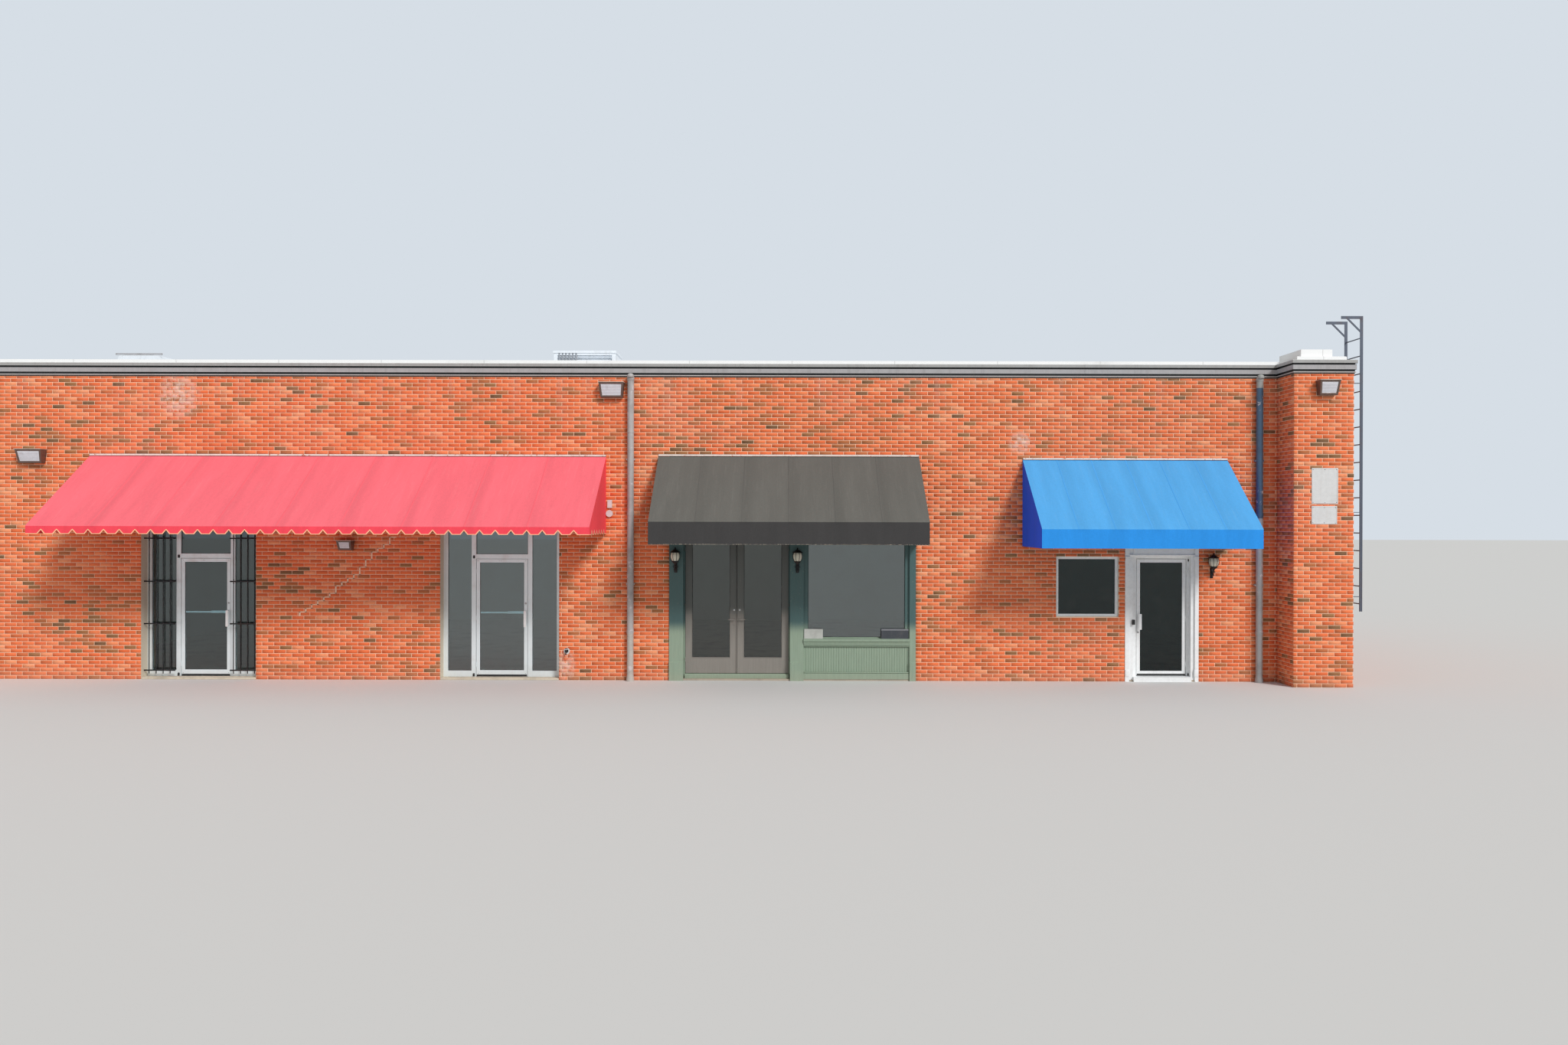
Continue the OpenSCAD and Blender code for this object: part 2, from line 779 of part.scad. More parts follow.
// The fixed panes of one metal shopfront
module shopfront_panes(x, w, side, leaf) {
    y0 = frame_front + (member_d - glass_t) / 2;
    door_l = left + x + member_w + side + member_w;
    door_r = door_l + leaf + 2 * gap;
    sill = floor_t + seat + base_h + seat;
    top = head_z - member_w - 2 * seat;
    for (span = [[left + x + member_w + 2 * seat, door_l - member_w - seat],
                 [door_r + member_w + seat, left + x + w - member_w - 2 * seat]])
        block([span[0], y0, sill], [span[1], y0 + glass_t, top]);
    block([door_l + seat, y0, transom_z + member_w + seat], [door_r - seat, y0 + glass_t, top]);
}

// The rectangle of a leaf's glass, as its low and high corners
function leaf_glass(x, w, z, h, stile, kick, y) = [
    [x + stile, y, z + kick],
    [x + w - stile, y + glass_t, z + h - stile]
];

// A leaf of stiles and rails round its glass, with the step of the glazing bead
module leaf_ring(x, w, z, h, stile, kick, y) {
    difference() {
        block([x, y, z], [x + w, y + leaf_t, z + h]);
        block([x + stile, y - 1, z + kick], [x + w - stile, y + leaf_t + 1, z + h - stile]);
        block([x + stile - bead, y - 1, z + kick - bead], [x + w - stile + bead, y + bead_d, z + h - stile + bead]);
    }
}

// The barrels and plates that a leaf hangs by, on an axis in front of the frame's face
module leaf_knuckles(axis_x, face, z, h, toward) {
    for (at = HINGE_AT)
        translate([axis_x, face - hinge_out, z + h * at]) mirror([toward > 0 ? 0 : 1, 0, 0]) {
            translate([0, 0, -knuckle_h / 2]) cylinder(r = hinge_r, h = knuckle_h, $fn = 24);
            block([0, 0, -knuckle_h / 2], [hinge_r, hinge_out + leaf_in, knuckle_h / 2]);
            block([gap / 2, hinge_out + leaf_in - plate_t, -knuckle_h],
                  [hinge_plate_w, hinge_out + leaf_in, knuckle_h]);
        }
}

// The frame's halves of the same hinges, above and below each of the leaf's barrels
module frame_knuckles(axis_x, face, z, h, toward) {
    for (at = HINGE_AT)
        translate([axis_x, face - hinge_out, z + h * at]) mirror([toward > 0 ? 0 : 1, 0, 0])
            for (low = [knuckle_h / 2 + seat, -knuckle_h - seat]) {
                translate([0, 0, low]) cylinder(r = hinge_r, h = knuckle_h / 2, $fn = 24);
                block([-hinge_r, 0, low], [0, hinge_out, low + knuckle_h / 2]);
                block([-20, hinge_out - plate_t, low], [-gap / 2, hinge_out, low + knuckle_h / 2]);
            }
}

// A bar pull on a leaf's face, standing off on two posts
module pull(x, y, z, len) {
    block([x - grip / 2, y - pull_off - grip, z], [x + grip / 2, y - pull_off, z + len]);
    for (end = [z, z + len - grip])
        block([x - grip / 2, y - pull_off, end], [x + grip / 2, y, end + grip]);
}

// The push bar behind the glass of a metal leaf, between its stiles
push_h = 26;
push_d = 20;

module push_bar(x, w, y, z) {
    block([x + stile_w, y + leaf_t - push_d, z], [x + w - stile_w, y + leaf_t, z + push_h]);
}

module metal_leaf(x, w) {
    color([0.62, 0.61, 0.60]) {
        leaf_ring(x, w, metal_leaf_z, metal_leaf_h, stile_w, kick_h, metal_leaf_y);
        leaf_knuckles(x - gap / 2, frame_front, metal_leaf_z, metal_leaf_h, 1);
        pull(x + w - stile_w / 2, metal_leaf_y, pull_z, pull_len);
        push_bar(x, w, metal_leaf_y, pull_z + pull_len - 2 * push_h);
    }
}

module glass_pane(box) {
    color([0.55, 0.66, 0.70, 0.45]) block(box[0] + [seat, 0, seat], box[1] - [seat, 0, seat]);
}

module door_a_leaf() { metal_leaf(leaf_a_x, leaf_a_w); }
module door_b_leaf() { metal_leaf(leaf_b_x, leaf_b_w); }

// The glass of a metal leaf lies in front of its push bar
metal_glass_y = metal_leaf_y + leaf_t - push_d - glass_t - seat;

module door_a_glass() {
    glass_pane(leaf_glass(leaf_a_x, leaf_a_w, metal_leaf_z, metal_leaf_h, stile_w, kick_h, metal_glass_y));
}

module door_b_glass() {
    glass_pane(leaf_glass(leaf_b_x, leaf_b_w, metal_leaf_z, metal_leaf_h, stile_w, kick_h, metal_glass_y));
}

// A post that stands on the floor slab, with its face and plinth down to the ground
module timber_post(x0, x1, top) {
    face = front - post_out;
    block([x0, face, floor_t + seat], [x1, doors_y + timber_t, top]);
    block([x0, face, 0], [x1, front - seat, floor_t + seat]);
    translate([x0, front, 0]) out_of_wall(x1 - x0)
        polygon([[post_out, 0], [post_out + plinth_out, 0], [post_out + plinth_out, plinth_h - plinth_out],
                 [post_out, plinth_h]]);
}

// The boarded panel under the shop window: one board's outline with a groove at every joint
module boarded_panel(x0, x1, y0, y1, z0, z1) {
    grooves = floor((x1 - x0) / groove_pitch) - 1;
    first = (x1 - x0 - grooves * groove_pitch) / 2;
    face = [for (i = [0 : grooves], k = [-1, 0, 1])
        [x0 + first + i * groove_pitch + k * groove_w / 2, y0 + (k == 0 ? groove_d : 0)]];
    translate([0, 0, z0]) linear_extrude(z1 - z0)
        polygon(concat([[x0, y1], [x0, y0]], face, [[x1, y0], [x1, y1]]));
}

// The shop window's sill: a nosing that stands out, with a rounded-off edge and a drip
sill_out = 60;
sill_fall = 14;

module shop_sill() {
    translate([c_window, front, 0]) out_of_wall(c_window_r - c_window)
        polygon([[-110, shop_sill_z - shop_sill_h], [-110, shop_sill_z], [sill_out - 20, shop_sill_z],
                 [sill_out, shop_sill_z - sill_fall], [sill_out, shop_sill_z - shop_sill_h / 2],
                 [sill_out - 16, shop_sill_z - shop_sill_h / 2 - 8], [sill_out - 26, shop_sill_z - shop_sill_h]]);
}

// Timber shopfront: posts, plinths, threshold, head, window frame, sill, panel and base board
module timber_front() {
    top = head_z - seat;
    low = floor_t + seat;
    y1 = doors_y + timber_t;
    board_h = 140;
    color([0.20, 0.30, 0.26]) {
        timber_post(c_left + seat, c_doors, top);
        timber_post(c_mid, c_window, top);
        timber_post(c_window_r, c_right - seat, top);
        // door jambs, head and threshold
        block([c_doors, doors_y, low], [c_doors + jamb_c, y1, top]);
        block([c_mid - jamb_c, doors_y, low], [c_mid, y1, top]);
        block([c_doors + jamb_c, doors_y, c_head], [c_mid - jamb_c, y1, top]);
        translate([c_doors + jamb_c, doors_y, 0]) out_of_wall(c_mid - c_doors - 2 * jamb_c)
            polygon([[-timber_t, low], [-timber_t, step_h], [20, step_h], [40, step_h - 20], [40, low]]);
        frame_knuckles(c_doors + jamb_c + gap / 2, doors_y, leaf_c_z, leaf_c_h, 1);
        frame_knuckles(c_mid - jamb_c - gap / 2, doors_y, leaf_c_z, leaf_c_h, -1);
        // stops behind the leaves
        block([c_doors + jamb_c, y1 - 30, step_h], [c_doors + jamb_c + stop_w, y1, c_head]);
        block([c_mid - jamb_c - stop_w, y1 - 30, step_h], [c_mid - jamb_c, y1, c_head]);
        block([c_doors + jamb_c, y1 - 30, c_head - stop_w], [c_mid - jamb_c, y1, c_head]);
        // window frame round the shop window, with the step of its bead
        difference() {
            block([c_window, front + 30, shop_sill_z], [c_window_r, front + 110, top]);
            block([c_window + window_bead, front + 29, shop_sill_z + window_edge],
                  [c_window_r - window_bead, front + 111, top - window_bead]);
            block([c_window + window_bead - bead, front + 29, shop_sill_z + window_edge - bead],
                  [c_window_r - window_bead + bead, front + 30 + 2 * bead_d, top - window_bead + bead]);
        }
        // sill, boarded panel and base board
        shop_sill();
        boarded_panel(c_window, c_window_r, front + 20, front + 60, low, shop_sill_z - shop_sill_h);
        translate([c_window, front, 0]) out_of_wall(c_window_r - c_window)
            polygon([[-20, low], [-20, board_h], [-4, board_h], [10, board_h - 14], [10, low]]);
    }
}

// All fixed panes: both metal shopfronts, the shop window and the side window
module fixed_glass() {
    pane_y = front + window_in + (window_d - glass_t) / 2;
    color([0.55, 0.66, 0.70, 0.45]) {
        shopfront_panes(shop_a_x, shop_a_w, side_a_w, leaf_a_w);
        shopfront_panes(shop_b_x, shop_b_w, side_b_w, leaf_b_w);
        block([c_window + window_bead + seat, front + pane_in, shop_sill_z + window_edge + seat],
              [c_window_r - window_bead - seat, front + pane_in + glass_t, head_z - window_bead - 2 * seat]);
        block([left + window_x + window_side + 2 * seat, pane_y, window_z + window_rail + 2 * seat],
              [left + window_x + window_w - window_side - 2 * seat, pane_y + glass_t,
               window_z + window_h - window_rail - 2 * seat]);
    }
}

// A lever handle on its plate, standing off on a short neck that is a turned part of its own
lever_z = 1080;
lever_len = 110;
lever_neck = 36;
lever_t = 14;
plate_half_w = 18;
plate_half_h = 110;

module lever(x, y, z, toward) {
    block([x - plate_half_w, y - 6, z - plate_half_h], [x + plate_half_w, y, z + plate_half_h]);
    translate([x, y - 6 - seat, z]) rotate([90, 0, 0]) cylinder(r = 10, h = lever_neck - 2 * seat, $fn = 24);
    translate([x, y - 6 - lever_neck, z]) mirror([toward > 0 ? 0 : 1, 0, 0]) rotate([90, 0, 0])
        linear_extrude(lever_t) {
            circle(r = 10, $fn = 24);
            translate([0, -9]) square([lever_len - 9, 18]);
            translate([lever_len - 9, 0]) circle(r = 9, $fn = 24);
        }
}

module timber_leaf(x, hinge_side) {
    color([0.38, 0.38, 0.35]) {
        leaf_ring(x, leaf_c_w, leaf_c_z, leaf_c_h, timber_stile_w, timber_kick_h, leaf_c_y);
        leaf_knuckles(hinge_side > 0 ? x - gap / 2 : x + leaf_c_w + gap / 2, doors_y, leaf_c_z, leaf_c_h,
                      hinge_side);
        lever(hinge_side > 0 ? x + leaf_c_w - 45 : x + 45, leaf_c_y, lever_z, -hinge_side);
    }
}

module door_c_left_leaf() { timber_leaf(leaf_c_left, 1); }
module door_c_right_leaf() { timber_leaf(leaf_c_right, -1); }

module timber_glass(x) {
    glass_pane(leaf_glass(x, leaf_c_w, leaf_c_z, leaf_c_h, timber_stile_w, timber_kick_h, leaf_c_y + glass_z));
}

module door_c_left_glass() { timber_glass(leaf_c_left); }
module door_c_right_glass() { timber_glass(leaf_c_right); }

// Side door: white casing in two steps with a header and a sill, round a narrow-stile leaf hung on the right
module door_d_surround() {
    low = floor_t + seat;
    top = door_d_h - seat;
    y1 = d_frame_y + d_frame_t;
    in_l = d_left + casing_left_w;
    in_r = d_right - casing_right_w;
    under_header = door_d_h - header_h;
    face = front - d_casing_out;
    step = 30;
    leaf_top = d_leaf_z + d_leaf_h + gap;
    color([0.90, 0.90, 0.90]) {
        // casing, its outer half proud of its inner half, and the header with its lower moulding
        block([d_left + seat, face, low], [d_left + casing_left_w / 2, y1, top]);
        block([d_left + casing_left_w / 2, face + step, low], [in_l, y1, top]);
        block([d_right - casing_right_w / 2, face, low], [d_right - seat, y1, top]);
        block([in_r, face + step, low], [d_right - casing_right_w / 2, y1, top]);
        for (foot = [[d_left + seat, d_left + casing_left_w / 2], [d_right - casing_right_w / 2, d_right - seat]])
            block([foot[0], face, 0], [foot[1], front - seat, low]);
        block([in_l, face + step / 2, under_header], [in_r, y1, top]);
        translate([d_left + casing_left_w / 2, front, under_header])
            out_of_wall(door_d_w - casing_left_w / 2 - casing_right_w / 2)
                polygon([[-step, 0], [-step, 26], [d_casing_out - 2, 26], [d_casing_out - 2, 12], [0, 0]]);
        // frame round the leaf
        block([in_l, d_frame_y, low], [d_leaf_x - gap, y1, under_header]);
        block([d_leaf_x + leaf_d_w + gap, d_frame_y, low], [in_r, y1, under_header]);
        block([d_leaf_x - gap, d_frame_y, leaf_top], [d_leaf_x + leaf_d_w + gap, y1, under_header]);
        frame_knuckles(d_leaf_x + leaf_d_w + gap / 2, d_frame_y, d_leaf_z, d_leaf_h, -1);
        // stops behind the leaf
        block([d_leaf_x - gap, y1 - 12, sill_d_h], [d_leaf_x - gap + stop_w, y1, leaf_top]);
        block([d_leaf_x + leaf_d_w + gap - stop_w, y1 - 12, sill_d_h], [d_leaf_x + leaf_d_w + gap, y1, leaf_top]);
        // sill
        block([in_l, front - d_sill_out, low], [in_r, y1, sill_d_h]);
        block([in_l, front - d_sill_out, 0], [in_r, front - seat, low]);
    }
}

module door_d_leaf() {
    color([0.92, 0.92, 0.92]) {
        leaf_ring(d_leaf_x, leaf_d_w, d_leaf_z, d_leaf_h, stile_w, d_kick, d_leaf_y);
        leaf_knuckles(d_leaf_x + leaf_d_w + gap / 2, d_frame_y, d_leaf_z, d_leaf_h, -1);
        pull(d_leaf_x + stile_w / 2, d_leaf_y, pull_z - 10, pull_len - 20);
    }
}

module door_d_glass() {
    glass_pane(leaf_glass(d_leaf_x, leaf_d_w, d_leaf_z, d_leaf_h, stile_w, d_kick, d_leaf_y + glass_z));
}

module side_window_frame() {
    x0 = left + window_x + seat;
    x1 = left + window_x + window_w - seat;
    z0 = window_z + seat;
    z1 = window_z + window_h - seat;
    y0 = front + window_in;
    color([0.90, 0.90, 0.90]) difference() {
        block([x0, y0, z0], [x1, y0 + window_d, z1]);
        block([x0 + window_side, y0 - 1, z0 + window_rail], [x1 - window_side, y0 + window_d + 1, z1 - window_rail]);
        block([x0 + window_side - bead, y0 - 1, z0 + window_rail - bead],
              [x1 - window_side + bead, y0 + 2 * bead_d, z1 - window_rail + bead]);
    }
}

// Round-bar grilles in front of the first shop's sidelights, with flat rails
bar_d = 16;
bar_pitch = 125;
grille_in = 90;
grille_rail_h = 24;
grille_rail_t = 12;
grille_edge = 60;

module grille(x0, x1) {
    y = front + grille_in;
    z0 = floor_t + grille_edge;
    z1 = head_z - grille_edge;
    bars = floor((x1 - x0 - 2 * grille_edge) / bar_pitch);
    first = (x1 - x0 - bars * bar_pitch) / 2;
    for (i = [0 : bars])
        translate([x0 + first + i * bar_pitch, y, z0]) cylinder(d = bar_d, h = z1 - z0, $fn = 16);
    for (z = [z0 + grille_edge, z0 + (z1 - z0) * 0.28, z0 + (z1 - z0) * 0.57, z1 - grille_edge])
        block([x0, y - grille_rail_t / 2, z - grille_rail_h / 2], [x1, y + grille_rail_t / 2, z + grille_rail_h / 2]);
}

module security_grilles() {
    door_l = left + shop_a_x + 2 * member_w + side_a_w;
    door_r = door_l + leaf_a_w + 2 * gap;
    color([0.10, 0.10, 0.11]) {
        grille(left + shop_a_x + seat, door_l - member_w / 2);
        grille(door_r + member_w / 2, left + shop_a_x + shop_a_w - seat);
    }
}

// A flood lamp: a housing that tapers out of the wall under a hood, and a ribbed lens in its sloping face
lamp_out = 190;
lamp_taper = 30;
lens_border = 46;
lens_in = 18;
lens_ribs = 12;

// A point on the lamp's sloping face, from its foot at 0 to the hood at 1
function lamp_face(t, h) = [lamp_out * (0.38 + 0.62 * t), -h / 2 + (h - 40) * t];

module flood_lamp(x, y, z, w, h) {
    slope = [lamp_face(0.08, h), lamp_face(0.94, h)];
    rib = [for (i = [0 : 2 * lens_ribs])
        slope[0] + (slope[1] - slope[0]) * i / (2 * lens_ribs) + [i % 2 == 0 ? 2 : 6, 0]];
    translate([x, y, z]) {
        difference() {
            intersection() {
                translate([-w / 2, 0, 0]) out_of_wall(w)
                    polygon([[seat, -h / 2], [seat, h / 2], [lamp_out, h / 2 - 18], [lamp_out, h / 2 - 40],
                             lamp_face(0, h)]);
                translate([0, 0, -h / 2]) linear_extrude(h)
                    polygon([[-w / 2, 0], [w / 2, 0], [w / 2 - lamp_taper, -lamp_out],
                             [lamp_taper - w / 2, -lamp_out]]);
            }
            translate([lens_border - w / 2, 0, 0]) out_of_wall(w - 2 * lens_border)
                polygon([slope[0] - [lens_in, 0], slope[0] + [lens_in, 0], slope[1] + [lens_in, 0],
                         slope[1] - [lens_in, 0]]);
        }
        translate([lens_border - w / 2 + seat, 0, 0]) out_of_wall(w - 2 * lens_border - 2 * seat)
            polygon(concat([slope[1] - [lens_in - seat, seat], slope[0] - [lens_in - seat, -seat]],
                           [for (p = rib) [p[0], min(max(p[1], slope[0][1] + seat), slope[1][1] - seat)]]));
    }
}

module flood_lamps() {
    high_z = wall_h - lamp_drop;
    color([0.50, 0.36, 0.30]) {
        flood_lamp(left + lamp_left_x, front, lamp_left_z, 460, 240);
        flood_lamp(c_left - lamp_mid_in, front, high_z, 440, 260);
        flood_lamp(pier_left + pier_w / 2 + 30, pier_front, high_z - 10, 350, 250);
        flood_lamp(left + shop_a_x + shop_a_w + lamp_small_in, front, lamp_small_z, 260, 170);
    }
}

// A wall lantern: a bellied glass in a cage of bars under a cap, held up by an arm with two scrolls
lantern_out = 110;
lantern_bars = 6;
lantern_c_z = 2205;
lantern_d_z = 2126;
BELLY = [[56, -78], [74, -48], [86, -5], [84, 35], [70, 72]];
belly_low = BELLY[0];
belly_high = BELLY[len(BELLY) - 1];

// The bars of the cage: a thin shell round the glass, cut by flat slabs through its middle
module lantern_cage() {
    inner = concat([belly_low - [0, 2]], BELLY, [belly_high + [0, 2]]);
    intersection() {
        rotate_extrude() polygon(concat([for (p = inner) p + [seat, 0]],
                                        [for (i = [len(inner) - 1 : -1 : 0]) inner[i] + [5, 0]]));
        union() for (i = [0 : lantern_bars / 2 - 1])
            rotate([0, 0, i * 360 / lantern_bars]) translate([-100, -3.5, -100]) cube([200, 7, 200]);
    }
}

// A ring of round bar standing in the plane of the arm
module scroll(y, z, r) {
    translate([0, y, z]) rotate([0, 90, 0]) rotate_extrude($fn = 32) translate([r, 0]) circle(r = 6, $fn = 16);
}

module lantern(x, y, z) {
    arm_z = belly_low[1] - 72;
    translate([x, y, z]) {
        block([-28, -8 - seat, arm_z - 140], [28, -seat, arm_z + 50]);
        block([-6, -lantern_out, arm_z], [6, -8, arm_z + 12]);
        scroll(-lantern_out / 2, arm_z - 34, 34);
        scroll(-lantern_out / 2, arm_z - 94, 20);
        translate([0, -lantern_out, 0]) {
            rotate_extrude() polygon([[0, arm_z], [16, arm_z], [14, arm_z + 36], [64, belly_low[1] - 10],
                                      [62, belly_low[1] - seat], [0, belly_low[1] - seat]]);
            rotate_extrude() polygon([[0, belly_high[1] + seat], [92, belly_high[1] + seat],
                                      [88, belly_high[1] + 12], [40, belly_high[1] + 46],
                                      [18, belly_high[1] + 52], [12, belly_high[1] + 78],
                                      [0, belly_high[1] + 90]]);
            lantern_cage();
            rotate_extrude() polygon(concat([[0, belly_low[1]]], BELLY, [[0, belly_high[1]]]));
        }
    }
}

module porch_lanterns() {
    color([0.12, 0.12, 0.12]) {
        lantern(c_left + post_left_w / 2 - 8, front - post_out, lantern_c_z);
        lantern(c_mid + post_mid_w / 2 + 8, front - post_out, lantern_c_z);
        lantern(d_right + lantern_in, front, lantern_d_z);
    }
}

// Bare plates on the pier, two wall boxes by the downspout and a hose tap by the second shop
plate_z = 3150;
plate_w = 454;
plate_h = 614;
low_plate_w = 438;
low_plate_h = 312;
plate_apart = 38;
plate_in = 300;
plate_d = 6;
wall_box_in = 1095;
wall_box_w = 80;
wall_box_h = 140;
wall_box_z = 3060;
bell_r = 60;
bell_z = 2960;
tap_in = 140;
tap_z = 520;

module wall_plate(x, z, w, h) {
    block([x, pier_front - plate_d - seat, z], [x + w, pier_front - seat, z + h]);
}

module hose_tap(x, z) {
    translate([x, front - seat, z]) rotate([90, 0, 0]) {
        cylinder(r = 55, h = 12);
        cylinder(r = 12, h = 70);
    }
    translate([x, front - seat - 60, z - 46]) cylinder(r = 9, h = 46, $fn = 24);
    translate([x, front - seat - 60, z]) cylinder(r = 5, h = 34, $fn = 24);
    translate([x, front - seat - 60, z + 34]) cylinder(r = 26, h = 8, $fn = 24);
}

module wall_fittings() {
    box_x = c_left - wall_box_in;
    color([0.92, 0.92, 0.91]) {
        wall_plate(pier_left + plate_in, plate_z, plate_w, plate_h);
        wall_plate(pier_left + plate_in, plate_z - plate_apart - low_plate_h, low_plate_w, low_plate_h);
        block([box_x, front - wall_box_w / 2 - seat, wall_box_z],
              [box_x + wall_box_w, front - seat, wall_box_z + wall_box_h]);
        translate([box_x + wall_box_w / 2 - 5, front - seat, bell_z]) rotate([90, 0, 0])
            cylinder(r = bell_r, h = 45);
        hose_tap(left + shop_b_x + shop_b_w + tap_in, tap_z);
    }
}

// Two low boxes standing on the shop window's sill
sill_box_h = 170;
sill_box_out = 38;

module sill_boxes() {
    z = shop_sill_z + seat;
    y0 = front - sill_box_out;
    color([0.75, 0.75, 0.72]) {
        block([c_window + 10, y0, z], [c_window + 340, front + 30 - seat, z + sill_box_h]);
        block([c_window_r - 500, y0, z], [c_window_r - 20, front + 30 - seat, z + sill_box_h]);
    }
}

floor_slab();
front_wall_left();
front_wall_between_shops();
front_wall_middle();
front_wall_window_bay();
front_wall_right();
front_wall_upper();
corner_pier();
side_wall_right();
rear_wall();
party_wall_left();
roof_deck();
coping();
parapet_blocks();
roof_unit();
roof_vent();
roof_ladder();
downspouts();
red_awning();
red_awning_frame();
black_awning();
black_awning_frame();
blue_awning();
blue_awning_frame();
shop_a_frame();
shop_b_frame();
fixed_glass();
door_a_leaf();
door_a_glass();
door_b_leaf();
door_b_glass();
timber_front();
door_c_left_leaf();
door_c_left_glass();
door_c_right_leaf();
door_c_right_glass();
door_d_surround();
door_d_leaf();
door_d_glass();
side_window_frame();
security_grilles();
flood_lamps();
porch_lanterns();
wall_fittings();
sill_boxes();
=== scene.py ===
"""Looks of a corner shop building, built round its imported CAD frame.

Metres, +X along the front to the right, +Y into the building, +Z up, as in the CAD source.
"""

import logging
import math
import random
from dataclasses import dataclass
from enum import Enum
from typing import Callable, Iterable, Sequence

import bpy
import numpy as np
from mathutils import Matrix, Vector


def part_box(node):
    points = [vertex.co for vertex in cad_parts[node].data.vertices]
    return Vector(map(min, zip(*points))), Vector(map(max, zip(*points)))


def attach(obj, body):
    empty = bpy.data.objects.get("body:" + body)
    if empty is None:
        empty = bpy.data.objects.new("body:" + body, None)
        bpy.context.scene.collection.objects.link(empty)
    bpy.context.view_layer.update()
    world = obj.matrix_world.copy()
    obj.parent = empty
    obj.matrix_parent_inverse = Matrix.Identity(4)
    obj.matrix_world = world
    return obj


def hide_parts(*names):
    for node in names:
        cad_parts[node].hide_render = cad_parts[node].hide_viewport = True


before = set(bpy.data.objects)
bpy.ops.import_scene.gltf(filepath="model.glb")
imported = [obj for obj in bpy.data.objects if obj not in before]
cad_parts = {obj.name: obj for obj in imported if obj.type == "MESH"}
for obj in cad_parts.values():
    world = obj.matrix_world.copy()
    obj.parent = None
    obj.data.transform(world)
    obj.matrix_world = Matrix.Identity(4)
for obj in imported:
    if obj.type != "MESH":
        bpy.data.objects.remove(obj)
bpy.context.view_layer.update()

LOG = logging.getLogger("corner_shop")
Obj = bpy.types.Object
Face = bpy.types.MeshPolygon
Socket = bpy.types.NodeSocket
Inputs = bpy.types.NodeInputs
Outputs = bpy.types.NodeOutputs
Point = tuple[float, float, float]
Rect = tuple[float, float, float, float]
Rgb = tuple[int, int, int]
Profile = Sequence[tuple[float, float]]

FRONT = -6.0
PIER_FRONT = -6.66
PIER_LEFT = 11.09
WALL_END = 12.11
REAR = 6.0
HEAD_Z = 2.933
COURSE = 0.0667


class Axis(Enum):
    """Which way a turned shape points."""

    UP = "up"
    OUT = "out"
    SIDE = "side"


def linear(rgb: Rgb) -> tuple[float, float, float, float]:
    """Turns a colour as a screen shows it into the one that a shader takes.

    Args:
        rgb: Red, green and blue from 0 to 255.

    Returns:
        The linear colour with full alpha.
    """
    shares = [c / 255 for c in rgb]
    low = [c / 12.92 if c <= 0.04045 else ((c + 0.055) / 1.055) ** 2.4 for c in shares]
    return (low[0], low[1], low[2], 1.0)


